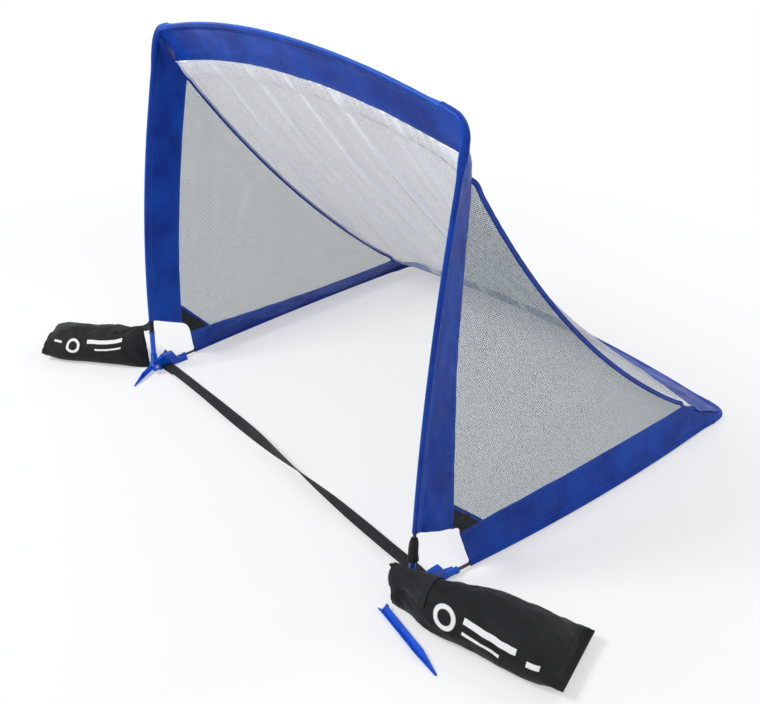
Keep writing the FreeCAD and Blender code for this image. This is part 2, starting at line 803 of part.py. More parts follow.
panel = {side: SidePanel(side, sign) for side, sign in SIDES}
for side, sign in SIDES:
    save(side + "_hem_binding", hem_binding(panel[side]))
    save(side + "_side_net", side_net(panel[side]))
    save(side + "_corner_patch", corner_patch(panel[side]))


# ---- back net ----------------------------------------------------------------------------------
def back_net():
    off = hem_thickness / 2 + seam_gap
    lift_way = Vector(0, 1, 1).normalize()

    def hem_at(side, t):
        hem = panel[side].hem
        return hem.at(hem.length * t) + plane[side].inward * off

    def top_at(u):
        s = crossbar.length * (net_end_share + u * (1 - 2 * net_end_share))
        return band_edge(crossbar, crossbar_way, crossbar_width, s, back_net_gap)

    def bottom_at(u):
        s = rear.length * (net_end_share + u * (1 - 2 * net_end_share))
        return band_edge(rear, rear_way, rear_width, s, back_net_gap)

    def place(u, t):
        left, right = hem_at("left", t), hem_at("right", t)
        ruled = left * (1 - u) + right * u
        top_step = top_at(u) - (hem_at("left", 0) * (1 - u) + hem_at("right", 0) * u)
        low_step = bottom_at(u) - (hem_at("left", 1) * (1 - u) + hem_at("right", 1) * u)
        edge = min(1.0, 14 * u * (1 - u))
        point = ruled + (top_step * (1 - t) ** 2 + low_step * t ** 2) * edge
        crown = 16 * u * (1 - u) * t * (1 - t)
        folds = math.sin(2 * math.pi * fold_count * (u - 0.22 * t)) * 4 * t * (1 - t) * 4 * u * (1 - u)
        return point + lift_way * (back_net_lift * crown + fold_height * folds)

    across = fold_step_count * fold_count
    rows = [[place(i / across, t) for i in range(across + 1)] for t in steps(0.0, 1.0, back_net_row_count)]
    lifted = [[p + lift_way * back_net_thickness for p in row] for row in rows]
    faces = []
    last = len(rows) - 1
    for k in range(last):
        for i in range(across):
            faces += three_cornered(rows[k][i], rows[k + 1][i], rows[k + 1][i + 1], rows[k][i + 1])
            faces += three_cornered(lifted[k][i], lifted[k][i + 1], lifted[k + 1][i + 1], lifted[k + 1][i])
        faces += three_cornered(rows[k][0], lifted[k][0], lifted[k + 1][0], rows[k + 1][0])
        faces += three_cornered(rows[k][-1], rows[k + 1][-1], lifted[k + 1][-1], lifted[k][-1])
    for i in range(across):
        faces += three_cornered(rows[0][i], rows[0][i + 1], lifted[0][i + 1], lifted[0][i])
        faces += three_cornered(rows[-1][i], lifted[-1][i], lifted[-1][i + 1], rows[-1][i + 1])
    return closed(faces)


save("back_net", back_net())


# ---- corner hinges -------------------------------------------------------------------------------
def pivot(side):
    rod = post[side]
    s = rod.solve(lambda t: rod.at(t).z - pivot_height, 0, rod.length)
    return rod.at(s)


def x_slab(side, sign, x_in, x_out, outline):
    """A plate square to X between two distances from the goal's middle, from (y, z) points."""
    points = [Vector(sign * x_in, y, z) for y, z in outline]
    return prism(points, X * sign * (x_out - x_in))


def x_disc(sign, x_in, x_out, centre, radius):
    start = Vector(sign * x_in, centre.y, centre.z)
    return cylinder(start, X * sign, x_out - x_in, radius)


for side, sign in SIDES:
    hinge = pivot(side)
    middle = abs(hinge.x)
    half_tongue = tongue_width / 2
    inner_ear = middle - half_tongue - ear_gap - ear_thickness
    outer_ear = middle + half_tongue + ear_gap
    outer_end = outer_ear + ear_thickness
    # pin
    pin = x_disc(sign, inner_ear, outer_end, hinge, pin_radius)
    for x_head in (inner_ear - pin_head, outer_end):
        start = Vector(sign * x_head, hinge.y, hinge.z)
        pin = pin.fuse(prism(flat_ring(start, X, Y, pin_head_radius, pin_head_side_count), X * sign * pin_head))
    save(side + "_hinge_pin", pin.removeSplitter())

    # post socket: tongue on the pin, tapering into the tube that holds the post rod
    rod = post[side]
    neck_s = rod.solve(lambda t: rod.at(t).z - post_socket_bottom, 0, rod.length)
    top_s = rod.solve(lambda t: rod.at(t).z - post_socket_top, 0, rod.length)
    neck = rod.at(neck_s)
    tongue = x_disc(sign, middle - half_tongue, middle + half_tongue, hinge, tongue_radius)
    tongue = tongue.fuse(x_slab(side, sign, middle - half_tongue, middle + half_tongue, [
        (hinge.y - tongue_radius, hinge.z), (hinge.y + tongue_radius, hinge.z),
        (neck.y + post_socket_radius - 1.0, neck.z + 4.0),
        (neck.y - post_socket_radius + 1.0, neck.z + 4.0)]))
    tongue = tongue.fuse(rod_solid(rod, neck_s - 8.0, top_s, post_socket_radius))
    rim = rod_solid(rod, top_s - 6.0, top_s, post_socket_radius + post_socket_rim)
    tongue = tongue.fuse(rim)
    tongue = tongue.cut(x_disc(sign, middle - half_tongue - 1, middle + half_tongue + 1, hinge,
                               pin_radius + pin_gap))
    tongue = tongue.cut(rod_solid(rod, post_rod_start, top_s + 5, rod_radius + fit_gap))
    save(side + "_post_socket", tongue.removeSplitter())

    # base socket: two ears about the tongue, a lug that carries the strap, and the side rod's tube
    low_ear = hinge.z - tongue_radius - ear_gap - bridge_thickness
    ears = x_disc(sign, inner_ear, inner_ear + ear_thickness, hinge, ear_radius)
    ears = ears.fuse(x_slab(side, sign, inner_ear, inner_ear + ear_thickness, [
        (hinge.y - ear_radius, hinge.z), (hinge.y - ear_radius, low_ear),
        (hinge.y + ear_radius, low_ear), (hinge.y + ear_radius, hinge.z)]))
    ears = ears.fuse(x_disc(sign, outer_ear, outer_end, hinge, ear_radius))
    ears = ears.fuse(x_slab(side, sign, outer_ear, outer_end, [
        (hinge.y - ear_radius, hinge.z), (hinge.y - ear_radius, low_ear),
        (rail_front, rail_height), (lug_front, rail_height), (lug_front, lug_top - 6.0),
        (hinge.y, hinge.z + ear_radius)]))
    ears = ears.fuse(x_slab(side, sign, outer_ear, outer_ear + rail_width, [
        (rail_front, 0.0), (base_socket_end - 2.0, 0.0), (base_socket_end - 2.0, rail_height),
        (lug_back, 20.0), (lug_back - 12.0, lug_top), (lug_front + 8.0, lug_top),
        (lug_front - 8.0, hinge.z + 1.0), (rail_front, hinge.z - 6.0)]))
    ears = ears.fuse(x_slab(side, sign, inner_ear, outer_end, [
        (hinge.y - ear_radius, low_ear), (hinge.y - ear_radius, low_ear + bridge_thickness),
        (hinge.y + ear_radius, low_ear + bridge_thickness), (hinge.y + ear_radius, low_ear)]))
    base = side_rod[side]
    front_s = base.solve(lambda t: base.at(t).y - base_socket_front, 0, base.length)
    end_s = base.solve(lambda t: base.at(t).y - base_socket_end, 0, base.length)
    ears = ears.fuse(rod_solid(base, front_s, end_s, base_socket_radius))
    ears = ears.fuse(rod_solid(base, end_s - 7.0, end_s, base_socket_radius + 0.8))
    ears = ears.cut(x_disc(sign, inner_ear - 1, outer_end + 1, hinge, pin_radius + pin_gap))
    ears = ears.cut(rod_solid(base, side_rod_start, end_s + 5, rod_radius + fit_gap))
    # the window and the notch that leave a bar for the strap
    half_strap = strap_width / 2 + 1.0
    for low, high in ((-1.0, strap_bar_low), (strap_bar_high, strap_window_high)):
        ears = ears.cut(x_slab(side, sign, outer_ear - 1.0, outer_ear + rail_width + 1.0, [
            (strap_y - half_strap, low), (strap_y + half_strap, low),
            (strap_y + half_strap, high), (strap_y - half_strap, high)]))
    save(side + "_base_socket", ears.removeSplitter())


# ---- strap across the mouth ----------------------------------------------------------------------
def strap():
    hinge = pivot("right")
    outer_ear = abs(hinge.x) + tongue_width / 2 + ear_gap
    bar_in, bar_out = outer_ear, outer_ear + rail_width
    gap = strap_slot_gap
    low, high = strap_bar_low - gap, strap_bar_high + gap
    half_width = strap_width / 2
    start = bar_in - gap - strap_thickness
    body = None
    for side, sign in SIDES:
        ring = x_slab(side, sign, start, bar_out + gap + strap_thickness, [
            (strap_y - half_width, low - strap_thickness), (strap_y + half_width, low - strap_thickness),
            (strap_y + half_width, high + strap_thickness), (strap_y - half_width, high + strap_thickness)])
        ring = ring.cut(x_slab(side, sign, bar_in - gap, bar_out + gap, [
            (strap_y - half_width - 1, low), (strap_y + half_width + 1, low),
            (strap_y + half_width + 1, high), (strap_y - half_width - 1, high)]))
        body = ring if body is None else body.fuse(ring)
    root_height = (low + high) / 2
    sections = []
    steps = 19
    for i in range(steps):
        share = i / (steps - 1)
        x = -start - 0.2 + (2 * start + 0.4) * share
        span = max(0.0, min(1.0, (x + start - strap_flat) / (2 * (start - strap_flat))))
        turn = math.radians(strap_twist) * (3 * span ** 2 - 2 * span ** 3)
        rise = math.sin(math.pi * share) ** 0.7 if 0 < share < 1 else 0.0
        centre = Vector(x, strap_y, root_height + (strap_height - root_height) * rise)
        wide = Vector(0, math.cos(turn), math.sin(turn)) * half_width
        thick = Vector(0, -math.sin(turn), math.cos(turn)) * (strap_thickness / 2)
        sections.append([centre + wide + thick, centre - wide + thick,
                         centre - wide - thick, centre + wide - thick])
    return body.fuse(faceted(sections, (3,))).removeSplitter()


save("front_strap", strap())


# ---- sand bags -----------------------------------------------------------------------------------
def bag_frame(side, sign):
    heading = math.radians(bag_heading[side])
    along = Vector(math.cos(heading), math.sin(heading), 0)
    across = Vector(-along.y, along.x, 0) * sign
    outwards, back = bag_corner[side]
    return Vector(sign * (mouth_width / 2 + outwards), back, 0), along, across


def bag_body(side, sign, grow):
    """The filled bag, or its inside, with every wall moved out by grow."""
    start, along, across = bag_frame(side, sign)
    sections = []
    last = len(bag_stations[side]) - 1
    for i, (reach, front, back, low, high) in enumerate(bag_stations[side]):
        if i == 0:
            reach -= grow
        if i == last:
            reach += grow
        front, back, low, high = front - grow, back + grow, low - grow, high + grow
        width, height = back - front, high - low
        base = start + along * reach

        def at(q, z):
            return base + across * q + Z * z

        sections.append([at(front + q * width, low + z * height) for q, z in bag_outline])
    return faceted(sections)


def bag_ridge(side, reach):
    """Height of the bag's top at this distance along it."""
    rows = bag_stations[side]
    for one, two in zip(rows, rows[1:]):
        if reach <= two[0]:
            share = (reach - one[0]) / (two[0] - one[0])
            return one[4] + (two[4] - one[4]) * share
    return rows[-1][4]


def oriented_box(origin, along, across, low, high):
    points = [origin + along * low[0] + across * low[1], origin + along * high[0] + across * low[1],
              origin + along * high[0] + across * high[1], origin + along * low[0] + across * high[1]]
    points = [p + Z * low[2] for p in points]
    return prism(points, Z * (high[2] - low[2]))


for side, sign in SIDES:
    start, along, across = bag_frame(side, sign)
    outer = bag_body(side, sign, 0.0)
    inner = bag_body(side, sign, -bag_cloth)
    save(side + "_bag", outer.cut(inner))
    save(side + "_sand_fill", bag_body(side, sign, -bag_cloth - sand_gap))
    flap = bag_body(side, sign, flap_gap + flap_thickness).cut(bag_body(side, sign, flap_gap))
    window = oriented_box(start, along, across, (flap_start, flap_side, flap_low),
                          (flap_end, flap_reach, flap_reach))
    flap = flap.common(window)
    save(side + "_bag_flap", flap)
    # loop of webbing round the post, above or around its socket
    rod = post[side]
    bottom = loop_bottom[side]
    s0 = rod.solve(lambda t: rod.at(t).z - bottom, 0, rod.length)
    s1 = rod.solve(lambda t: rod.at(t).z - bottom - loop_height[side], 0, rod.length)
    on_rod = bottom > post_socket_top
    inner_radius = (rod_radius if on_rod else post_socket_radius + post_socket_rim) + loop_gap
    low, high = rod.at(s0), rod.at(s1)
    along_post = (high - low).normalize()
    outer_ring = flat_ring(low, along_post, rod.side, inner_radius + loop_thickness, loop_side_count)
    loop = prism(outer_ring, high - low)
    reach, offset = tail_target[side]
    end = start + along * reach + across * offset
    end_top = bag_ridge(side, reach) + 3.0
    way = Vector(end.x - low.x, end.y - low.y, 0).normalize()
    square = Z.cross(way) * (loop_thickness / 2)
    tail = prism([Vector(p.x, p.y, z) - square for p, z in (
        (low, low.z), (low, high.z), (end, end_top), (end, end_top - tail_depth))], square * 2)
    tail = tail.cut(bag_body(side, sign, loop_gap))
    inner_ring = flat_ring(rod.at(s0 - 30), along_post, rod.side, inner_radius, loop_side_count)
    loop = loop.fuse(tail).cut(prism(inner_ring, along_post * (loop_height[side] + 60)))
    pieces = sorted(loop.Solids, key=lambda solid: solid.Volume)
    save(side + "_bag_loop", pieces[-1].removeSplitter())


# ---- stakes ----------------------------------------------------------------------------------------
def stake(side, sign):
    """An angle-section plastic stake lying on the ground, point away from the corner."""
    outwards, back, heading = stake_place[side]
    wall = stake_wall * math.sqrt(2)

    def chevron(leg, at_x):
        k = leg / math.sqrt(2)
        return [Vector(at_x, 0, 0), Vector(at_x, k, k), Vector(at_x, k - wall / 2, k + wall / 2),
                Vector(at_x, 0, wall), Vector(at_x, -k + wall / 2, k + wall / 2), Vector(at_x, -k, k)]

    straight = stake_length - stake_point
    body = prism(chevron(stake_leg, 0), X * straight)
    tip = faceted([chevron(stake_leg, straight), chevron(stake_tip_leg, stake_length)])
    head = prism(chevron(stake_head_leg, 0), X * stake_head)
    body = body.fuse(tip).fuse(head).removeSplitter()
    body.rotate(Vector(0, 0, 0), Z, heading)
    body.translate(Vector(sign * (mouth_width / 2 + outwards), back, 0))
    return body


for side, sign in SIDES:
    save(side + "_stake", stake(side, sign))
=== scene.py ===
import math
import bpy
import numpy as np
from mathutils import Matrix, Vector


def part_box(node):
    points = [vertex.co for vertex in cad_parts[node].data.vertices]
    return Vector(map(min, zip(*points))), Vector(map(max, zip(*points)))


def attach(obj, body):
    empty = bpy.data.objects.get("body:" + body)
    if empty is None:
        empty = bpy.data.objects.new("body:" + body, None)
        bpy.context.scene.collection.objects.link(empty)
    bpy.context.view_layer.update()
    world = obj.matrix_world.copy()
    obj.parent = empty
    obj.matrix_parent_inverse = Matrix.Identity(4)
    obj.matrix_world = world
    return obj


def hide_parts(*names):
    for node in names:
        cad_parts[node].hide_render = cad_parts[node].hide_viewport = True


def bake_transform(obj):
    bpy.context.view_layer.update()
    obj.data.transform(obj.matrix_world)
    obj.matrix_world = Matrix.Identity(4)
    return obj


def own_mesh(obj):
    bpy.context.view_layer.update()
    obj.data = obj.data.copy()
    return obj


# A pop-up training goal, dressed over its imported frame. Metres, in the frame's own axes.
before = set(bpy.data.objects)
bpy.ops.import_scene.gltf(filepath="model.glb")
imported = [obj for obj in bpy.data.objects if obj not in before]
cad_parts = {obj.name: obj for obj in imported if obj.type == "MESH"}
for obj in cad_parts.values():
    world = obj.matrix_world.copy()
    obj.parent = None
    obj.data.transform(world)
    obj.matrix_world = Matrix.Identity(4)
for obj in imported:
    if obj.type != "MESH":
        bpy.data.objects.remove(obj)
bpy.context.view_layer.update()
SIDES = (("left", -1.0), ("right", 1.0))
X, Z = np.array([1.0, 0.0, 0.0]), np.array([0.0, 0.0, 1.0])


# ---- small helpers ----
def unit(v):
    v = np.asarray(v, float)
    return v / np.linalg.norm(v, axis=-1, keepdims=True)


def vertices(node):
    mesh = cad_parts[node].data
    flat = np.zeros(len(mesh.vertices) * 3)
    mesh.vertices.foreach_get("co", flat)
    return flat.reshape(-1, 3)


def smooth(x):
    x = np.clip(x, 0.0, 1.0)
    return x * x * (3 - 2 * x)


def noise(u, v, seed=0):
    """Smooth value noise from -1 to 1."""
    u, v = np.broadcast_arrays(np.asarray(u, float), np.asarray(v, float))
    iu, iv = np.floor(u).astype(np.int64), np.floor(v).astype(np.int64)
    fu, fv = smooth(u - iu), smooth(v - iv)

    def cell(a, b):
        n = (a * 374761393 + b * 668265263 + seed * 974711) & 0x7FFFFFFF
        n = ((n ^ (n >> 13)) * 1274126177) & 0x7FFFFFFF
        return ((n ^ (n >> 16)) & 0xFFFF) / 32767.5 - 1.0

    low = cell(iu, iv) * (1 - fu) + cell(iu + 1, iv) * fu
    high = cell(iu, iv + 1) * (1 - fu) + cell(iu + 1, iv + 1) * fu
    return low * (1 - fv) + high * fv


def layered(u, v, seed=0, layers=3):
    total, size = 0.0, 1.0
    for i in range(layers):
        total = total + noise(u * 2 ** i, v * 2 ** i, seed + i * 17) * size
        size *= 0.5
    return total


def mesh_piece(name, points, faces, uv=None, soft=True):
    mesh = bpy.data.meshes.new(name)
    mesh.from_pydata([tuple(p) for p in points], [], faces)
    mesh.validate()
    if uv is not None:
        layer = mesh.uv_layers.new(name="UVMap")
        loops = np.zeros(len(mesh.loops), np.int32)
        mesh.loops.foreach_get("vertex_index", loops)
        layer.data.foreach_set("uv", np.asarray(uv, float)[loops].ravel())
    mesh.polygons.foreach_set("use_smooth", [soft] * len(mesh.polygons))
    mesh.update()
    piece = bpy.data.objects.new(name, mesh)
    bpy.context.scene.collection.objects.link(piece)
    return piece


def grid_faces(rows, columns, wrap=False, first=0):
    faces = []
    last = columns if wrap else columns - 1
    for i in range(rows - 1):
        for j in range(last):
            k = (j + 1) % columns
            a, b = first + i * columns, first + (i + 1) * columns
            faces.append((a + j, a + k, b + k, b + j))
    return faces


def capped_faces(rows, sides):
    """A tube's faces, with both its ends closed."""
    last = (rows - 1) * sides
    return grid_faces(rows, sides, True) + [tuple(range(sides))[::-1], tuple(range(last, last + sides))]


def uv_grid(u, v):
    return np.stack(np.broadcast_arrays(u, v), -1)


def surface(name, points, uv, wrap=False):
    rows, columns = points.shape[:2]
    return mesh_piece(name, points.reshape(-1, 3), grid_faces(rows, columns, wrap), uv.reshape(-1, 2))


def solid_sheet(name, points, thickness, uv):
    """A closed sheet with thickness, from a grid of middle points."""
    rows, columns = points.shape[:2]
    du, dv = np.gradient(points, axis=0), np.gradient(points, axis=1)
    normal = unit(np.cross(du, dv))
    both = np.concatenate([(points + normal * thickness / 2).reshape(-1, 3),
                           (points - normal * thickness / 2).reshape(-1, 3)])
    count = rows * columns
    top = grid_faces(rows, columns)
    faces = top + [tuple(count + i for i in reversed(face)) for face in top]
    rim = list(range(columns)) + [i * columns + columns - 1 for i in range(1, rows)]
    rim += [(rows - 1) * columns + i for i in range(columns - 2, -1, -1)]
    rim += [i * columns for i in range(rows - 2, 0, -1)]
    for a, b in zip(rim, rim[1:] + rim[:1]):
        faces.append((b, a, a + count, b + count))
    return mesh_piece(name, both, faces, np.concatenate([uv.reshape(-1, 2)] * 2))


def tube(name, path, radii, sides, caps=True):
    """A round bar along a path, with its radius given for each point."""
    path = np.asarray(path, float)
    tangent = unit(np.gradient(path, axis=0))
    ref = Z if abs(tangent[0][2]) < 0.9 else X
    one = unit(np.cross(tangent[0], ref))
    rows, uv, run = [], [], 0.0
    for i, (p, t) in enumerate(zip(path, tangent)):
        one = unit(one - t * (one @ t))
        two = np.cross(t, one)
        run += np.linalg.norm(p - path[i - 1]) if i else 0.0
        turn = np.linspace(0, 2 * math.pi, sides, endpoint=False)[:, None]
        rows.append(p + (np.cos(turn) * one + np.sin(turn) * two) * radii[i])
        uv.append(uv_grid(run, turn[:, 0] * radii[i]))
    faces = capped_faces(len(rows), sides) if caps else grid_faces(len(rows), sides, True)
    return mesh_piece(name, np.concatenate(rows), faces, np.concatenate(uv))


def dress(piece, material, slot, *nodes, body=None):
    """A piece's material, the nodes it stands for and the body it rides; slot is not used."""
    piece.data.materials.append(material)
    if nodes:
        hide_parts(*nodes)
    if body:
        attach(piece, body)


def add_modifier(piece, kind, **settings):
    modifier = piece.modifiers.new(kind.lower(), kind)
    for key, value in settings.items():
        setattr(modifier, key, value)


# ---- materials ----
class Nodes:
    """A material's or a world's node tree, written as a few calls."""

    def __init__(self, name, kind="Material"):
        self.owner = (bpy.data.worlds if kind == "World" else bpy.data.materials).new(name)
        self.owner.use_nodes = True
        self.tree = self.owner.node_tree
        self.tree.nodes.clear()
        self.output = self.add("Output" + kind)
        if kind == "Material":
            self.shader = self.add("BsdfPrincipled")
            self.put(self.output.inputs[0], self.shader.outputs[0])

    def add(self, kind, inputs=(), **settings):
        node = self.tree.nodes.new("ShaderNode" + kind)
        for key, value in settings.items():
            setattr(node, key, value)
        for key, value in dict(inputs).items():
            self.put(node.inputs[key], value)
        return node

    def put(self, socket, value):
        if isinstance(value, bpy.types.NodeSocket):
            self.tree.links.new(value, socket)
        else:
            socket.default_value = value

    def set(self, **values):
        for key, value in values.items():
            self.put(self.shader.inputs[key.replace("_", " ")], value)

    def math(self, operation, a, b=0.0):
        return self.add("Math", {0: a, 1: b}, operation=operation).outputs[0]

    def times(self, *values):
        """The product of two values or more."""
        product = values[0]
        for value in values[1:]:
            product = self.math("MULTIPLY", product, value)
        return product

    def length(self, a, b):
        """How long the step (a, b) is."""
        return self.math("SQRT", self.math("ADD", self.times(a, a), self.times(b, b)))

    def mix(self, share, a, b):
        return self.add("Mix", {0: share, 6: a, 7: b}, data_type="RGBA").outputs[2]

    def range(self, value, low, high, to_low=0.0, to_high=1.0):
        return self.add("MapRange", {0: value, 1: low, 2: high, 3: to_low, 4: to_high}).outputs[0]

    def uv(self):
        where = self.add("UVMap", uv_map="UVMap")
        parts = self.add("SeparateXYZ", {0: where.outputs[0]})
        return where.outputs[0], parts.outputs[0], parts.outputs[1]

    def place(self):
        return self.add("TexCoord").outputs["Object"]

    def noise(self, where, scale, detail=2.0, roughness=0.5, stretch=None):
        if stretch is not None:
            where = self.add("Mapping", {0: where, 3: stretch}).outputs[0]
        inputs = {"Vector": where, "Scale": scale, "Detail": detail, "Roughness": roughness}
        return self.add("TexNoise", inputs).outputs[0]

    def bump(self, height, strength, distance, normal=None):
        inputs = {"Height": height, "Strength": strength, "Distance": distance}
        if normal is not None:
            inputs["Normal"] = normal
        return self.add("Bump", inputs).outputs[0]

    def weave(self, u, v, pitch):
        """Over and under of a plain weave, 0 to 1."""
        one = self.math("SINE", self.times(u, 2 * math.pi / pitch))
        two = self.math("SINE", self.times(v, 2 * math.pi / pitch))
        return self.range(self.times(one, two), -1.0, 1.0)

    def line(self, value, at, width):
        """1 on a line of this width, 0 off it."""
        away = self.math("ABSOLUTE", self.math("SUBTRACT", value, at))
        return self.range(away, width / 2, width * 0.35, 0.0, 1.0)

    def dashes(self, value, pitch, share=0.65):
        wave = self.math("FRACT", self.math("DIVIDE", value, pitch))
        return self.math("LESS_THAN", wave, share)


def rgb(r, g, b):
    """A colour from its screen values, 0 to 255."""
    def linear(c):
        c = c / 255
        return c / 12.92 if c <= 0.04045 else ((c + 0.055) / 1.055) ** 2.4
    return (linear(r), linear(g), linear(b), 1.0)


def toned(colour, share):
    """The same colour, lighter or darker."""
    return tuple(min(1, c * share) for c in colour[:3]) + (1.0,)


def nylon(name, base, shade, stitch_at=(), edges=()):
    """Coated nylon: fine weave, soft gloss, seams with thread and a painted shade line, painted highlights
    on the stretches in edges.
    """
    n = Nodes(name)
    where, u, v = n.uv()
    spot = n.place()
    cloudy = n.range(n.noise(spot, 9.0, 3.0), 0.3, 0.7)
    colour = n.mix(cloudy, shade, base)
    worn = n.range(n.noise(spot, 60.0, 4.0, 0.7), 0.60, 0.80)
    colour = n.mix(n.times(worn, 0.10), colour, rgb(70, 124, 220))
    # painted highlight: a paler blue line on each stretch of v given in edges
    for low, high in edges:
        painted_edge_highlight = n.times(n.line(v, (low + high) / 2, high - low), 0.40)
        colour = n.mix(painted_edge_highlight, colour, rgb(58, 122, 226))
    for at in stitch_at:
        # seam: painted shade, a dark line in the seam's groove; the dashed thread on it is the stitches' own
        # paler colour
        seam = n.line(v, at, 0.0045)
        thread = n.times(n.line(v, at, 0.0016), n.dashes(u, 0.0042))
        colour = n.mix(n.times(seam, 0.45), colour, rgb(8, 30, 96))
        colour = n.mix(n.times(thread, 0.9), colour, rgb(60, 112, 210))
    fine = n.weave(u, v, 0.0011)
    creases = n.noise(where, 55.0, 4.0, 0.6, (1.0, 0.35, 1.0))
    normal = n.bump(fine, 0.16, 0.0002)
    normal = n.bump(creases, 0.5, 0.0030, normal)
    for at in stitch_at:
        normal = n.bump(n.line(v, at, 0.006), -0.5, 0.0008, normal)
    rough = n.range(n.noise(spot, 35.0, 3.0), 0.3, 0.7, 0.33, 0.47)
    n.set(Base_Color=colour, Roughness=rough, Normal=normal)
    n.set(Sheen_Weight=0.02, Sheen_Roughness=0.4, Specular_IOR_Level=0.16, Sheen_Tint=rgb(90, 150, 240))
    return n.owner


def knit(name, thread, cover, pitch, grain=150.0, fold_white=None, pleats=None):
    """Fine knitted mesh: threads with see-through gaps between them.

    fold_white is where the white fold along its lower edge ends. pleats are the net's width and
    length in uv, how many white folds it has and how much they slant.
    """
    n = Nodes(name)
    where, u, v = n.uv()
    row_pitch = pitch * 0.86
    row = n.math("FLOOR", n.math("DIVIDE", v, row_pitch))
    shift = n.times(n.math("MODULO", row, 2.0), 0.5)
    wobble = n.times(n.noise(where, 70.0, 3.0, 0.6), 2.2)
    shift = n.math("ADD", shift, wobble)
    cu = n.math("SUBTRACT", n.math("FRACT", n.math("ADD", n.math("DIVIDE", u, pitch), shift)), 0.5)
    cv = n.math("SUBTRACT", n.math("FRACT", n.math("DIVIDE", v, row_pitch)), 0.5)
    away = n.length(cu, cv)
    uneven = n.noise(where, 260.0, 2.0)
    hole = n.math("LESS_THAN", away, n.range(uneven, 0.3, 0.7, cover - 0.07, cover + 0.07))
    spot = n.place()
    dye = n.range(n.noise(spot, 7.0, 3.0), 0.3, 0.7)
    colour = n.mix(dye, thread, toned(thread, 0.86))
    speck = n.range(n.noise(where, grain, 3.0, 0.8), 0.45, 0.58)
    colour = n.mix(n.times(speck, 0.55), colour, toned(thread, 1.9))
    alpha = n.math("SUBTRACT", 1.0, hole)
    if pleats is not None:
        wide, long, count, slant = pleats
        lean = n.math("SUBTRACT", n.math("DIVIDE", u, wide), n.times(n.math("DIVIDE", v, long), slant))
        wander = n.times(n.noise(where, 2.4, 1.0, 0.4), 0.09)
        along = n.math("ADD", lean, wander)
        wave = n.math("SINE", n.times(along, 2 * math.pi * count))
        crest = n.range(wave, 0.66, 1.0)
        thin = n.math("SINE", n.times(along, 2 * math.pi * count * 2.6))
        crest = n.math("MAXIMUM", crest, n.times(n.range(thin, 0.94, 1.0), 0.4))
        crest = n.times(crest, 0.85)
        colour = n.mix(crest, colour, rgb(244, 246, 252))
        alpha = n.math("MAXIMUM", alpha, crest)
    if fold_white is not None:
        edge = n.range(v, fold_white, fold_white + 0.02, 1.0, 0.0)
        colour = n.mix(edge, colour, rgb(238, 240, 246))
        alpha = n.math("MAXIMUM", alpha, n.times(edge, 0.9))
    twist = n.bump(n.range(away, 0.25, 0.6), 0.6, 0.0006)
    n.set(Base_Color=colour, Roughness=0.72, Alpha=alpha, Normal=twist)
    n.set(Sheen_Weight=0.2, Specular_IOR_Level=0.3)
    return n.owner


def webbing(name, base=rgb(34, 34, 37), pitch=0.0022):
    """Woven polyester tape: ribs along it, lighter faded patches."""
    n = Nodes(name)
    _, u, v = n.uv()
    ribs = n.weave(u, v, pitch)
    spot = n.place()
    faded = n.range(n.noise(spot, 30.0, 4.0, 0.6), 0.35, 0.75)
    colour = n.mix(n.times(faded, 0.5), base, rgb(58, 58, 62))
    colour = n.mix(n.times(ribs, 0.25), colour, rgb(70, 70, 75))
    normal = n.bump(ribs, 0.8, 0.0005)
    n.set(Base_Color=colour, Roughness=0.78, Normal=normal, Sheen_Weight=0.06, Specular_IOR_Level=0.14)
    return n.owner


def plastic(name, base, shade, rough):
    """Moulded plastic: slight flow marks and scuffs."""
    n = Nodes(name)
    spot = n.place()
    flow = n.range(n.noise(spot, 40.0, 2.0, 0.5, (1.0, 1.0, 3.0)), 0.3, 0.7)
    colour = n.mix(flow, base, shade)
    scuffs = n.range(n.noise(spot, 300.0, 5.0, 0.75, (1.0, 5.0, 1.0)), 0.60, 0.70)
    colour = n.mix(n.times(scuffs, 0.25), colour, rgb(120, 160, 225))
    normal = n.bump(n.noise(spot, 700.0, 3.0), 0.15, 0.0003)
    rough = n.range(scuffs, 0.0, 1.0, rough, rough + 0.3)
    n.set(Base_Color=colour, Roughness=rough, Normal=normal, Specular_IOR_Level=0.35)
    return n.owner


def metal(name, base, rough):
    n = Nodes(name)
    spot = n.place()
    brushed = n.noise(spot, 900.0, 3.0, 0.6, (0.05, 1.0, 1.0))
    colour = n.mix(n.range(brushed, 0.3, 0.7), base, toned(base, 0.8))
    n.set(Base_Color=colour, Metallic=1.0, Roughness=n.range(brushed, 0.3, 0.7, rough, rough + 0.15),
          Normal=n.bump(brushed, 0.2, 0.0001))
    return n.owner


def resin_rod():
    n = Nodes("glass_fibre")
    spot = n.place()
    fibres = n.noise(spot, 1400.0, 3.0, 0.6, (1.0, 1.0, 0.02))
    colour = n.mix(n.range(fibres, 0.35, 0.65), rgb(22, 22, 24), rgb(44, 44, 48))
    n.set(Base_Color=colour, Roughness=0.28, Normal=n.bump(fibres, 0.2, 0.0001), Coat_Weight=0.4)
    return n.owner


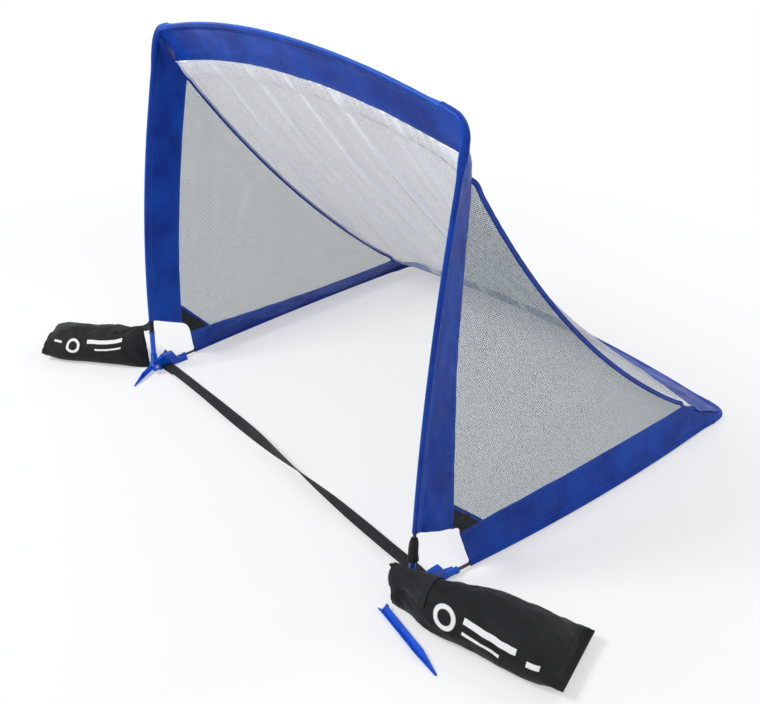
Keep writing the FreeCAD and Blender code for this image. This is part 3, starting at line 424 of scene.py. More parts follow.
def bag_fabric(name, marks):
    """Black coated polyester with plain printed bars and rings.

    A mark is its kind, its middle in uv and two sizes: a bar's length and height, or a ring's
    radius and the width of its line.
    """
    n = Nodes(name)
    where, u, v = n.uv()
    fine = n.weave(u, v, 0.0013)
    spot = n.place()
    dusty = n.range(n.noise(spot, 22.0, 4.0, 0.6), 0.4, 0.75)
    colour = n.mix(n.times(dusty, 0.45), rgb(19, 19, 22), rgb(37, 37, 42))
    colour = n.mix(n.times(fine, 0.16), colour, rgb(52, 52, 58))
    ink = 0.0
    for kind, cu, cv, a, b in marks:
        du, dv = n.math("SUBTRACT", u, cu), n.math("SUBTRACT", v, cv)
        if kind == "bar":
            across = n.range(n.math("ABSOLUTE", dv), b / 2, b / 2 - 0.0008, 0.0, 1.0)
            along = n.range(n.math("ABSOLUTE", du), a / 2, a / 2 - 0.0008, 0.0, 1.0)
            mark = n.times(across, along)
        else:
            mark = n.line(n.length(du, dv), a, b)
        ink = n.math("MAXIMUM", ink, mark)
    cracked = n.range(n.noise(where, 900.0, 4.0, 0.7), 0.28, 0.36)
    colour = n.mix(n.times(ink, cracked), colour, rgb(232, 232, 232))
    creases = n.noise(where, 38.0, 5.0, 0.62, (1.0, 0.7, 1.0))
    normal = n.bump(fine, 0.35, 0.0003)
    normal = n.bump(creases, 0.55, 0.004, normal)
    n.set(Base_Color=colour, Roughness=0.62, Normal=normal, Sheen_Weight=0.06, Specular_IOR_Level=0.14)
    return n.owner


# ---- lines of the frame ----
class Line:
    """A smooth line through points, by distance along it; it runs on straight past its ends."""

    def __init__(self, points):
        self.points = np.asarray(points, float)
        steps = np.linalg.norm(np.diff(self.points, axis=0), axis=1)
        self.run = np.concatenate([[0.0], np.cumsum(steps)])
        self.length = self.run[-1]
        slope = np.gradient(self.points, self.run, axis=0)
        slope[0] = unit(self.points[1] - self.points[0])
        slope[-1] = unit(self.points[-1] - self.points[-2])
        self.slope = slope

    def at(self, s):
        s = np.asarray(s, float)
        inside = np.clip(s, 0.0, self.length)
        k = np.clip(np.searchsorted(self.run, inside, side="right") - 1, 0, len(self.run) - 2)
        h = (self.run[k + 1] - self.run[k])[..., None]
        t = (inside - self.run[k])[..., None] / h
        p, q, m, n = self.points[k], self.points[k + 1], self.slope[k] * h, self.slope[k + 1] * h
        place = ((2 * t ** 3 - 3 * t ** 2 + 1) * p + (t ** 3 - 2 * t ** 2 + t) * m
                 + (-2 * t ** 3 + 3 * t ** 2) * q + (t ** 3 - t ** 2) * n)
        beyond = (s - inside)[..., None]
        return place + beyond * np.where(beyond > 0, self.slope[-1], self.slope[0])

    def part(self, start, end):
        """The stretch between two distances, by the share along it."""
        return lambda share: self.at(start + (end - start) * share)

    def way(self, s):
        return unit(self.at(np.asarray(s) + 0.002) - self.at(np.asarray(s) - 0.002))

    def nearest(self, places):
        """Distance along the line, and away from it, for each place."""
        s = np.linspace(-0.14, self.length + 0.14, 2400)
        line = self.at(s)
        gap = np.linalg.norm(places[:, None, :] - line[None, :, :], axis=2)
        k = gap.argmin(axis=1)
        return s[k], gap[np.arange(len(places)), k]


def clusters(values, gap):
    """Groups of indices whose values lie closer than gap to the next."""
    order = np.argsort(values)
    groups, group = [], [order[0]]
    for a, b in zip(order, order[1:]):
        if values[b] - values[a] > gap:
            groups.append(group)
            group = []
        group.append(b)
    return groups + [group]


def distinct(points):
    return np.unique(np.round(points, 6), axis=0)


def centre_line(node, way, gap=0.006):
    """The middle line of a bar, from the rings of points along it; way says which end is first."""
    points = distinct(vertices(node))
    axis = np.linalg.svd(points - points.mean(0), full_matrices=False)[2][0]
    axis = axis if axis @ np.asarray(way, float) > 0 else -axis
    middles = []
    for group in clusters(points @ axis, gap):
        ring = points[group]
        middles.append((ring.min(0) + ring.max(0)) / 2)
    return Line(middles)


def crossing(one, two, at_one, at_two):
    """The point nearest to both lines' extensions, past the end at_one and the end at_two."""
    p, u = one.at(at_one), one.way(at_one)
    q, v = two.at(at_two), two.way(at_two)
    matrix = np.array([u, -v]).T
    a, b = np.linalg.lstsq(matrix, q - p, rcond=None)[0]
    return (p + u * a + q + v * b) / 2


UP, RIGHT, BACK = (0, 0, 1), (1, 0, 0), (0, 1, 0)
post = {side: centre_line(side + "_post_rod", UP) for side, _ in SIDES}
side_rod = {side: centre_line(side + "_base_rod", BACK) for side, _ in SIDES}
crossbar = centre_line("crossbar_rod", RIGHT)
rear = centre_line("rear_rod", RIGHT)


def corners(uprights, bar):
    """Where the lines of the uprights meet the bar's line, on either side."""
    return {side: crossing(rod, bar, rod.length, 0.0 if side == "left" else bar.length)
            for side, rod in uprights.items()}


top_corner, rear_corner = corners(post, crossbar), corners(side_rod, rear)

BAND_LEAST = 0.094        # a sleeve's points further than this from its rod are on the free edge
CHANNEL_MOST = 0.0075     # and those nearer than this are on the rod's channel


class Band:
    """A flat sleeve's cloth: from the rod's path across to its free edge."""

    def __init__(self, node, rod, path):
        self.path = path
        points = distinct(vertices(node))
        s, away = rod.nearest(points)
        far = away > BAND_LEAST
        groups = clusters(s[far], 0.003)
        self.edge = Line(np.array([points[far][g].mean(0) for g in groups]))
        self.front = s[away < CHANNEL_MOST].min()
        self.rod = rod


def bend_path(corner, way_one, way_two, radius, count=13):
    """Points round a corner's bend, from one straight leg to the other."""
    turn = math.acos(float(np.clip(-(way_one @ way_two), -1, 1)))
    reach = radius * math.tan(turn / 2)
    a, b = corner + way_one * reach, corner + way_two * reach
    c, d = a + (corner - a) * 0.55, b + (corner - b) * 0.55
    t = np.linspace(0, 1, count)[:, None]
    return (1 - t) ** 3 * a + 3 * (1 - t) ** 2 * t * c + 3 * (1 - t) * t * t * d + t ** 3 * b


BEND_RADIUS = {"top": 0.046, "rear": 0.032}
bend = {}
for side, _ in SIDES:
    at_left = side == "left"
    for place, corner, upright, across in (("top", top_corner, post, crossbar),
                                           ("rear", rear_corner, side_rod, rear)):
        one = -upright[side].way(upright[side].length)
        two = across.way(0.0) if at_left else -across.way(across.length)
        bend[side, place] = bend_path(corner[side], one, two, BEND_RADIUS[place])


def joined(*parts):
    """One line through several runs of points, closely spaced doubles left out."""
    points = np.concatenate(parts)
    keep = [0]
    for i in range(1, len(points)):
        if np.linalg.norm(points[i] - points[keep[-1]]) > 0.003:
            keep.append(i)
    return Line(points[keep])


def inner_points(line, margin=0.012):
    return line.at(np.concatenate([[margin], line.run[1:-1], [line.length - margin]]))


half = len(bend["left", "top"]) // 2 + 1
band = {}
for side, _ in SIDES:
    for node, rod, place in (("_post_sleeve", post[side], "top"), ("_base_sleeve", side_rod[side], "rear")):
        run = joined(inner_points(rod), bend[side, place][:half])
        band[side + node] = Band(side + node, rod, run)
for node, rod, place in (("crossbar_sleeve", crossbar, "top"), ("rear_sleeve", rear, "rear")):
    run = joined(bend["left", place][half - 1:], inner_points(rod), bend["right", place][half - 1:][::-1])
    band[node] = Band(node, rod, run)


# ---- sleeves ----
BLUE, DEEP_BLUE = rgb(12, 70, 172), rgb(3, 42, 132)
ROW = 0.006               # step between rows along a sleeve
HALF_CLOTH = 0.0009
CHANNEL_RADIUS = 0.0058
CORNER_SWELL = 0.0026     # what the channel's radius gains in the corners, round the ferrules
FERRULE_REACH = 0.104     # where that starts, from a band's end
BAND_TUCK = 0.012         # the crossbar's and the rear band's edges run on this far past their ends
EDGE_REACH = 0.008        # and the other bands' past their last end
# a band's rows from its rod's side to its free edge and back, as shares of its width
ACROSS = (1.0, 0.985, 0.95, 0.91, 0.85, 0.78, 0.7, 0.6, 0.5, 0.4, 0.31, 0.24, 0.19, 0.155, 0.12, 0.08, 0.04)


def wrinkles(s, v, width, seed, strength):
    """How far sewn cloth stands off its flat shape."""
    pinned = smooth(v / 0.24) * (1 - 0.6 * smooth((v - 0.78) / 0.22))
    soft = layered(s * 6.5 + seed, v * 1.6 + s * 1.2, seed, 3) * 0.0030
    drawn = noise(s * 21 + v * 2.6, v * 1.9 - s * 3.0, seed + 5) * 0.0017
    seam = np.exp(-((v * width - 0.017) / 0.008) ** 2) + np.exp(-((v * width - width + 0.010) / 0.008) ** 2)
    puckers = noise(s * 85.0, v * 3.0, seed + 9) * 0.0009
    return strength * (pinned * (soft + drawn) + seam * puckers)


def sleeve(node, body, seed, strength):
    """A sleeve's closed cloth: one face out to its edge, and back round the rod's channel."""
    cloth = band[node]
    path = cloth.path
    crossing_band = node in ("crossbar_sleeve", "rear_sleeve")
    begin = 0.0 if crossing_band else float(path.nearest(cloth.rod.at(cloth.front)[None])[0][0])
    rows = int((path.length - begin) / ROW)
    t = np.linspace(0, 1, rows)
    s = begin + (path.length - begin) * t
    root = path.at(s)
    if crossing_band:
        edge = cloth.edge.at((cloth.edge.length + 2 * BAND_TUCK) * t - BAND_TUCK)
    else:
        edge = cloth.edge.at((cloth.edge.length + EDGE_REACH) * t)
    span = edge - root
    width = np.linalg.norm(span, axis=1)
    tangent = path.way(s)
    normal = unit(np.cross(tangent, span))
    square = np.cross(normal, tangent)
    to_corner = path.length - s
    if crossing_band:
        to_corner = np.minimum(to_corner, s)
    radius = CHANNEL_RADIUS + CORNER_SWELL * smooth((FERRULE_REACH - to_corner) / 0.045)
    usual = float(np.median(width))
    points, uv = [], []

    def layer(share, face):
        swell = (radius - HALF_CLOTH) * (1 - smooth(share * usual / 0.0165))
        hem = 0.0005 * smooth((share - 0.90) / 0.03)
        height = HALF_CLOTH + swell + hem
        if share == 1.0:
            height = np.full(rows, 0.0004)
        puff = 0.0006 * noise(s * 30, share * 4, seed + 40 + int(face)) * smooth((1 - share) / 0.1)
        off = wrinkles(s, share, usual, seed, strength) + face * (height + puff * smooth(share / 0.2))
        points.append(root + span * share + normal * off[:, None])
        uv.append(uv_grid(s, share * usual))

    for share in ACROSS:
        layer(share, 1.0)
    for turn in np.radians(np.linspace(90, 270, 13)):
        ring = square * math.cos(turn) + normal * math.sin(turn)
        crinkle = 1 + 0.03 * noise(s * 60, turn * 2, seed + 3)
        points.append(root + ring * (radius * crinkle)[:, None])
        uv.append(uv_grid(s, -0.004 * math.sin(turn - math.pi / 2)))
    for share in reversed(ACROSS):
        layer(share, -1.0)
    points, uv = np.stack(points, 1), np.stack(uv, 1)
    piece = surface(node + "_cloth", points, uv, wrap=True)
    # the stitch lines, then two painted highlights: on the channel's ridge and along the free edge
    fabric = nylon(node + "_nylon", BLUE, DEEP_BLUE, (0.0172, usual - 0.008),
                   ((-0.005, -0.003), (usual - 0.0022, usual + 0.002)))
    dress(piece, fabric, "sleeve_cloth", node, body=body)
    if not crossing_band:
        # the channel keeps its shape round the rod where the band beside it crumples
        channel = tube(node + "_channel", root, radius + 0.0003, 24, caps=False)
        dress(channel, hood_cloth, "sleeve_cloth", body=body)
    return piece


hood_cloth = nylon("hood_nylon", BLUE, DEEP_BLUE)
sleeves = {node: sleeve(node, body, seed, strength) for node, body, seed, strength in (
    ("crossbar_sleeve", "arch", 11, 1.1), ("rear_sleeve", "base", 23, 1.3),
    ("left_post_sleeve", "arch", 37, 1.0), ("right_post_sleeve", "arch", 41, 1.2),
    ("left_base_sleeve", "base", 53, 1.0), ("right_base_sleeve", "base", 67, 1.0))}

# hoods over the four corners
HOOD_LEG = 0.034
HOOD_RADIUS, HOOD_END = 0.0082, 0.0076
for (side, place), curve in bend.items():
    one, two = unit(curve[0] - curve[1]), unit(curve[-1] - curve[-2])
    path = joined(curve[:1] + one * HOOD_LEG, curve[:1] + one * HOOD_LEG * 0.5, curve,
                  curve[-1:] + two * HOOD_LEG * 0.5, curve[-1:] + two * HOOD_LEG)
    s = np.linspace(0, path.length, 64)
    from_end = np.minimum(s, path.length - s)
    crinkle = 0.0003 * noise(s * 90, 0, 71 + int(place == "top"))
    radii = HOOD_RADIUS + 0.0006 * smooth(from_end / 0.03) + crinkle
    radii[0] = radii[-1] = HOOD_END
    hood = tube(side + "_" + place + "_hood", path.at(s), radii, 28)
    dress(hood, hood_cloth, "sleeve_cloth", body="arch" if place == "top" else "base")


# ---- side panels ----
def tape(name, centre, along, inward, width, thickness):
    """A folded tape along a line of points, flat side inward: rounded section, slightly uneven."""
    thick_way = np.broadcast_to(inward, centre.shape)
    flat_way = unit(np.cross(thick_way, along))
    turn = np.linspace(0, 2 * math.pi, 16, endpoint=False)
    across = np.sign(np.cos(turn)) * np.abs(np.cos(turn)) ** 0.55 * width / 2
    over = np.sign(np.sin(turn)) * np.abs(np.sin(turn)) ** 0.75 * thickness / 2
    run = np.concatenate([[0], np.cumsum(np.linalg.norm(np.diff(centre, axis=0), axis=1))])
    crumple = noise(run[:, None] * 95, turn[None] * 0.6, 7) * 0.0004
    points = (centre[:, None] + flat_way[:, None] * across[None, :, None]
              + thick_way[:, None] * (over + crumple)[:, :, None])
    uv = uv_grid(run[:, None], across[None] + width / 2)
    return mesh_piece(name, points.reshape(-1, 3), capped_faces(*points.shape[:2]), uv.reshape(-1, 2))


def straight(a, b, bow=0.0):
    """The line from a to b by the share along it, bowed by up to a quarter of bow."""
    return lambda u: a + (b - a) * u[:, None] + bow * (u * (1 - u))[:, None]


def coons(low, high, first, last, u, v):
    """A surface between four edges: low(u), high(u) at v 0 and 1; first(v), last(v) at u 0 and 1."""
    uu, vv = u[None, :, None], v[:, None, None]
    a, b, c, d = low(u)[None], high(u)[None], first(v)[:, None], last(v)[:, None]
    corners = ((1 - uu) * (1 - vv) * a[:, :1] + uu * (1 - vv) * a[:, -1:]
               + (1 - uu) * vv * b[:, :1] + uu * vv * b[:, -1:])
    return (1 - vv) * a + vv * b + (1 - uu) * c + uu * d - corners


side_knit = knit("side_knit", rgb(112, 124, 127), 0.34, 0.0046, 105.0)
hem_cloth = nylon("hem_nylon", rgb(18, 62, 160), rgb(10, 36, 118), (0.006,))
patch_cloth = webbing("patch_fabric", rgb(26, 27, 31), 0.0016)
PATCH_UP, PATCH_BACK = 0.056, 0.064     # the patch's size along the post's and the base's band
PATCH_HOLLOW, PATCH_THICK = 0.024, 0.0018
HEM_WIDTH, HEM_THICK = 0.012, 0.0034
TRIM_WIDTH, TRIM_THICK = 0.009, 0.0030
panel = {}
for side, sign in SIDES:
    points = distinct(vertices(side + "_side_net"))
    inward = np.linalg.svd(points - points.mean(0), full_matrices=False)[2][2]
    inward = inward if inward[0] * sign < 0 else -inward
    hem = centre_line(side + "_hem_binding", (0, 1, -1), 0.02)
    post_edge, base_edge = band[side + "_post_sleeve"].edge, band[side + "_base_sleeve"].edge
    top_s = float(post_edge.nearest(hem.at(-0.006)[None])[0][0])
    end_s = float(base_edge.nearest(hem.at(hem.length + 0.006)[None])[0][0])
    hem_run = joined(post_edge.at(top_s)[None], hem.points, base_edge.at(end_s)[None])

    low = straight(post_edge.at(PATCH_UP), base_edge.at(PATCH_BACK))
    u, v = np.linspace(0, 1, 110), np.linspace(0, 1, 120)
    grid = coons(low, hem_run.part(0.0, hem_run.length), post_edge.part(PATCH_UP, top_s),
                 base_edge.part(PATCH_BACK, end_s), u, v)
    uu, vv = np.meshgrid(u, v)
    held = smooth(uu * 9) * smooth((1 - uu) * 9) * smooth(vv * 9) * smooth((1 - vv) * 12)
    billow = 0.010 * np.sin(math.pi * uu) * np.sin(math.pi * vv)
    folds = 0.0032 * layered(uu * 7 + sign, vv * 1.8, 81 + int(sign), 3) * (0.35 + vv)
    drawn = 0.0016 * noise(uu * 19 + vv * 5, vv * 8, 91 + int(sign)) * held
    grid = grid + inward * (held * folds + billow + drawn)[..., None]
    right = unit(np.cross(inward, Z))
    up = np.cross(right, inward)
    uv = np.stack([grid @ right, grid @ up], -1)
    net = surface(side + "_side_mesh", grid, uv)
    dress(net, side_knit, "side_mesh", side + "_side_net")

    end = 0 if side == "left" else -1
    whole = joined(band["crossbar_sleeve"].edge.points[end][None], hem_run.points[:1] + inward * 0.002,
                   hem_run.points[1:-1], hem_run.points[-1:] + inward * 0.002,
                   band["rear_sleeve"].edge.points[end][None])
    s = np.linspace(0.004, whole.length - 0.004, 190)
    hem_tape = tape(side + "_hem_tape", whole.at(s), whole.way(s), inward, HEM_WIDTH, HEM_THICK)
    dress(hem_tape, hem_cloth, "binding", side + "_hem_binding")

    # the black corner patch, hollow below, with a blue tape on its upper edge
    a, b = post_edge.at(0.0), base_edge.at(0.0)
    rise = unit(post_edge.at(PATCH_UP) + base_edge.at(PATCH_BACK) - a - b)
    pu, pv = np.linspace(0, 1, 36), np.linspace(0, 1, 26)
    grid = coons(straight(a, b, rise * PATCH_HOLLOW), low, post_edge.part(0.0, PATCH_UP),
                 base_edge.part(0.0, PATCH_BACK), pu, pv)
    pu, pv = np.meshgrid(pu, pv)
    grid = grid + inward * (0.0012 * layered(pu * 4, pv * 4, 131 + int(sign), 3)
                            * smooth(pu * 6) * smooth((1 - pu) * 6))[..., None]
    patch = solid_sheet(side + "_patch_cloth", grid, PATCH_THICK, np.stack([grid @ right, grid @ up], -1))
    dress(patch, patch_cloth, "webbing", side + "_corner_patch")
    line = low(np.linspace(0, 1, 40))
    trim = tape(side + "_patch_trim", line, unit(np.gradient(line, axis=0)), inward, TRIM_WIDTH, TRIM_THICK)
    dress(trim, hem_cloth, "binding")
    panel[side] = {"hem": whole, "inward": inward, "net": net, "hem_tape": hem_tape, "patch": patch,
                   "trim": trim}


# ---- back net ----
BACK_UV = (1.16, 1.32)    # width and length of the net in its uv
BACK_FOLDS = 6
BACK_SLANT = 0.2          # how far the folds lean over the net's length, as a share of its width


def back_surface(rows, columns):
    """The back net's points between its four hems, with their shares across and down."""
    u, t = np.linspace(0, 1, columns), np.linspace(0, 1, rows)
    hems = {}
    for side, _ in SIDES:
        line = panel[side]["hem"]
        hems[side] = line.at(line.length * t) + panel[side]["inward"] * 0.002
    share = 0.012 + u * 0.976
    top_line, low_line = band["crossbar_sleeve"].edge, band["rear_sleeve"].edge
    top, low = top_line.at(top_line.length * share), low_line.at(low_line.length * share)
    uu, tt = u[None, :, None], t[:, None, None]
    ruled = hems["left"][:, None] * (1 - uu) + hems["right"][:, None] * uu
    top_step = (top - (hems["left"][0] * (1 - u[:, None]) + hems["right"][0] * u[:, None]))[None]
    low_step = (low - (hems["left"][-1] * (1 - u[:, None]) + hems["right"][-1] * u[:, None]))[None]
    edge = np.minimum(1.0, 14 * uu * (1 - uu))
    point = ruled + (top_step * (1 - tt) ** 2 + low_step * tt ** 2) * edge
    u, t = uu[..., 0], tt[..., 0]
    bell = 4 * t * (1 - t) * 4 * u * (1 - u)
    lean = u + BACK_SLANT * t
    folds = (0.0125 * np.abs(np.sin(math.pi * BACK_FOLDS * lean)) ** 0.6
             + 0.0046 * np.sin(2 * math.pi * 13 * lean + 1.3 + 2 * t)
             + 0.0055 * layered(lean * 15, t * 2.4, 151, 3)) * bell ** 0.7
    gathered = 0.0030 * np.sin(2 * math.pi * 34 * u + 3 * noise(u * 9, 0, 5)) * np.exp(-t / 0.05)
    gathered = gathered + 0.0022 * np.sin(2 * math.pi * 27 * u) * np.exp(-(1 - t) / 0.04)
    full = (1 - np.abs(2 * u - 1) ** 7) * (4 * t * (1 - t)) ** 0.8
    lift = 0.016 * bell + 0.036 * full + folds + gathered * smooth(u * 12) * smooth((1 - u) * 12)
    return point + unit([0, 1, 1]) * lift[..., None], u, t


grid, u, t = back_surface(170, 220)
back = surface("back_mesh_cloth", grid, uv_grid(u * BACK_UV[0], t * BACK_UV[1]))
back_knit = knit("back_knit", rgb(172, 175, 180), 0.33, 0.0036, 150.0, 0.012,
                 (*BACK_UV, BACK_FOLDS, -BACK_SLANT))
dress(back, back_knit, "back_mesh", "back_net")


# ---- strap across the mouth ----
low_box, high_box = (np.array(corner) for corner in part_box("front_strap"))
strap_y = float(low_box[1] + high_box[1]) / 2
bar_z = float(low_box[2]) + 0.0036
tip_x = float(high_box[0]) - 0.0012
STRAP_HALF, STRAP_THICK = 0.015, 0.0017
STRAP_SPAN = 0.570        # the free span ends this far from the middle
STRAP_RISE_END = 0.602    # and it rises from this far out
STRAP_LOW, STRAP_LIFT = 0.0118, 0.0068
TWIST_REACH = 0.415       # the half twist lies within this far of the middle


def strap_loop(sign):
    """The strap's places round the bar of a corner and back under itself."""
    turn = np.radians(np.linspace(-90, 90, 9))
    out = [(tip_x - 0.003 + 0.0034 * math.cos(a), bar_z + 0.0037 * math.sin(a)) for a in turn]
    under = [(0.552, 0.0062), (0.575, 0.0046), (0.598, 0.0020)]
    over = [(0.600, 0.0092), (0.585, 0.0112)]
    return [np.array([sign * x, strap_y, z]) for x, z in under + out + over]


span_x = np.linspace(-STRAP_SPAN, STRAP_SPAN, 180)
rise = np.sin(math.pi * (span_x + STRAP_RISE_END) / (2 * STRAP_RISE_END)) ** 0.7
height = STRAP_LOW + STRAP_LIFT * rise + 0.0012 * noise(span_x * 9, 0, 201)
middle = np.stack([span_x, np.full_like(span_x, strap_y), height], 1)
centre = np.concatenate([strap_loop(-1.0), middle, strap_loop(1.0)[::-1]])
run, x = Line(centre).run, centre[:, 0]
turn = math.pi * smooth((x + TWIST_REACH) / (2 * TWIST_REACH))
tangent = unit(np.gradient(centre, run, axis=0))
side_way = np.stack([np.zeros_like(x), np.cos(turn), np.sin(turn)], 1)
side_way = unit(side_way - tangent * (side_way * tangent).sum(1, keepdims=True))
over = np.cross(tangent, side_way)
columns = np.linspace(-1, 1, 11)
curl = 0.0009 * (columns ** 2)[None] * noise(x * 6, 0, 203)[:, None]
points = (centre[:, None] + side_way[:, None] * (columns * STRAP_HALF)[None, :, None]
          + over[:, None] * curl[..., None])
strap = solid_sheet("mouth_strap", points, STRAP_THICK, uv_grid(run[:, None], columns[None] * STRAP_HALF))
dress(strap, webbing("strap_webbing"), "webbing", "front_strap", body="base")


# ---- sand bags ----
# along the bag, front edge, rear edge, underside and top, as the frame's solids have them
BAG_STATIONS = {
    "left": ((-0.004, 0.002, 0.022, 0.003, 0.146), (0.030, -0.004, 0.052, 0.0, 0.132),
             (0.100, -0.010, 0.104, 0.0, 0.112), (0.200, -0.010, 0.128, 0.0, 0.102),
             (0.300, -0.006, 0.138, 0.0, 0.092), (0.346, 0.004, 0.146, 0.008, 0.074)),
    "right": ((-0.050, 0.006, 0.066, 0.0145, 0.113), (-0.024, 0.020, 0.060, 0.002, 0.109),
              (0.050, -0.006, 0.098, 0.0, 0.099), (0.170, -0.016, 0.134, 0.0, 0.092),
              (0.290, -0.022, 0.142, 0.0, 0.080), (0.344, -0.014, 0.150, 0.010, 0.054)),
}
BAG_START = {"left": (-0.640, -0.007), "right": (0.656, -0.066)}
BAG_HEADING = {"left": 220.4, "right": 19.3}
# the far end's blunted share and the length it narrows over, how far its corners pull out, and a seed
BAG_END = {"left": (0.72, 0.020, 0.003, 301), "right": (0.12, 0.052, 0.015, 351)}
BAG_NEAR = 0.034          # the mouth's end narrows over this length
PIPING_RADIUS = 0.0015
FLAP_OFF = 0.0021         # the flap's middle above the bag
FLAP_THICK, FLAP_LONG, FLAP_WIDE = 0.0016, 0.11, 0.09
# a flap's first and last place along the bag, its least height and its least place across
FLAP = {"left": (0.007, 0.117, 0.058, 0.024), "right": (-0.047, 0.048, 0.066, -1.0)}
WEB_THICK = 0.0017
# which points are on a loop's ring, its height as a share of the frame's, and its radius going up
LOOP = {"left": (0.0075, 1.0, (1.36, 1.36)),
        "right": (0.0115, 1.16, (1.28, 1.22, 1.06, 1.02, 1.02, 1.0, 0.86, 0.62))}
# one side of a filled bag's section, as shares of its width and height
HALF_SECTION = ((0.2, 0.0), (0.05, 0.14), (0.0, 0.4), (0.06, 0.68), (0.22, 0.9), (0.5, 1.0))
# printed bars and rings: see bag_fabric
MARKS = {
    "left": (("bar", 0.130, 0.136, 0.120, 0.013), ("bar", 0.118, 0.112, 0.088, 0.006),
             ("ring", 0.236, 0.124, 0.019, 0.010), ("bar", 0.290, 0.136, 0.026, 0.008)),
    "right": (("ring", 0.096, 0.122, 0.021, 0.011), ("bar", 0.196, 0.136, 0.120, 0.014),
              ("bar", 0.182, 0.112, 0.086, 0.007), ("bar", 0.292, 0.124, 0.026, 0.012)),
}


def closed_section(count):
    """Points round a filled bag's section, as shares of width and height, from its underside."""
    half_way = list(HALF_SECTION)
    outline = [(0.5, 0.0)] + half_way + [(1 - q, z) for q, z in half_way[-2::-1]]
    loop = np.array(outline + outline[:1])
    loop = np.concatenate([loop[-4:-1], loop, loop[1:4]])
    line = Line(loop)
    a, b = line.run[3], line.run[-4]
    return line.at(np.linspace(a, b, count, endpoint=False))


def bag_axes(side, sign):
    """Where a bag starts on the ground, and its directions along and across."""
    heading = math.radians(BAG_HEADING[side])
    along = np.array([math.cos(heading), math.sin(heading), 0.0])
    return np.array([*BAG_START[side], 0.0]), along, np.array([-along[1], along[0], 0.0]) * sign


def bag_grid(side, sign, rows=150, columns=112):
    """A sagging bag's skin, ring by ring, with its outward directions and uv."""
    start, along, across = bag_axes(side, sign)
    section = closed_section(columns)
    stations = Line(np.array(BAG_STATIONS[side]))
    s = np.linspace(0, stations.length, rows)
    reach, front, rear_side, low, high = stations.at(s).T
    blunt, narrowing, pull, seed = BAG_END[side]
    near, far = (reach - reach[0]) / BAG_NEAR, (reach[-1] - reach) / narrowing
    pinch = np.sqrt(1 - (1 - np.clip(near, 0, 1)) ** 2) * 0.93 + 0.07
    flat = np.sqrt(1 - (1 - np.clip(far, 0, 1)) ** 2) * (1 - blunt) + blunt
    spread = 1 + 0.05 * np.exp(-far * 2.0)
    ear = 1 + 0.04 * np.exp(-near * 2.0)
    q, z = section[:, 0][None], section[:, 1][None]
    middle, wide, tall = (front + rear_side) / 2, (rear_side - front), (high - low)
    across_at = middle[:, None] + (q - 0.5) * (wide * pinch * spread)[:, None]
    centre_z = low + tall * 0.42
    off_centre = z * tall[:, None] + low[:, None] - centre_z[:, None]
    up_at = centre_z[:, None] + off_centre * (ear * flat)[:, None]
    place = (start + along * reach[:, None, None] + across * across_at[..., None]
             + Z * up_at[..., None])
    corner_pull = np.abs(2 * q - 1) ** 6 * pull * np.exp(-far * 2.2)[:, None]
    place = place + along * corner_pull[..., None]
    angle = np.linspace(0, 1, columns, endpoint=False)[None] * 13
    r = reach[:, None]
    ends = np.exp(-(r - reach[0]) / 0.07) + np.exp(-(reach[-1] - r) / 0.06)
    folded = noise(angle * 1.6 + r * 8, r * 9, seed) * 0.0036 * ends
    slack = layered(r * 16 + angle * 0.5, angle * 0.55 - r * 7, seed + 3, 3) * 0.0026
    creased = -np.abs(noise(r * 26 - angle * 0.7, angle * 0.8 + r * 10, seed + 7)) * 0.0028
    du, dv = np.gradient(place, axis=0), np.roll(place, -1, 1) - np.roll(place, 1, 1)
    normal = unit(np.cross(du, dv))
    centre = place.mean(1, keepdims=True)
    if ((place - centre) * normal).sum() < 0:
        normal = -normal
    resting = smooth((up_at - 0.004) / 0.02)
    place = place + normal * ((folded + slack + creased + 0.0012) * resting)[..., None]
    place[..., 2] = np.maximum(place[..., 2], 0.0006)
    steps = np.linalg.norm(np.diff(place, axis=1), axis=2)
    girth = np.concatenate([np.zeros((rows, 1)), np.cumsum(steps, axis=1)], 1)
    return place, normal, uv_grid(r, girth)


def closed_tube(name, place, uv):
    """A mesh of rings whose two end rings are sewn flat."""
    rows, columns = place.shape[:2]
    faces = grid_faces(rows, columns, True)
    for first_index, flip in ((0, True), ((rows - 1) * columns, False)):
        for i in range(columns // 2 - 1):
            a, b = first_index + i, first_index + i + 1
            c, d = first_index + columns - 2 - i, first_index + columns - 1 - i
            faces.append((d, c, b, a) if flip else (a, b, c, d))
    return mesh_piece(name, place.reshape(-1, 3), faces, uv.reshape(-1, 2))


def ring_band(name, centre, axis, radius, height, thickness, seed, profile):
    """A loop of webbing round a post; profile gives its radius up its height, as shares."""
    ref = unit(np.cross(axis, X))
    other = np.cross(axis, ref)
    turn = np.linspace(0, 2 * math.pi, 48, endpoint=False)
    rows = np.linspace(0, 1, 12)
    slack = 0.0008 * noise(turn[None] * 1.3, rows[:, None] * 2, seed)
    body = []
    for layer in (thickness, 0.0):
        shares = np.interp(rows, np.linspace(0, 1, len(profile)), profile)[:, None]
        reach = radius * shares + layer + (slack if layer else 0 * slack)
        ring = (ref * np.cos(turn)[:, None] + other * np.sin(turn)[:, None])[None] * reach[..., None]
        body.append(centre + axis * (rows * height)[:, None, None] + ring)
    points = np.concatenate([body[0], body[1][::-1], body[0][:1]])
    uv = uv_grid(turn[None] * radius, np.linspace(0, 2 * height, 25)[:, None])
    return surface(name, points, uv, wrap=True)


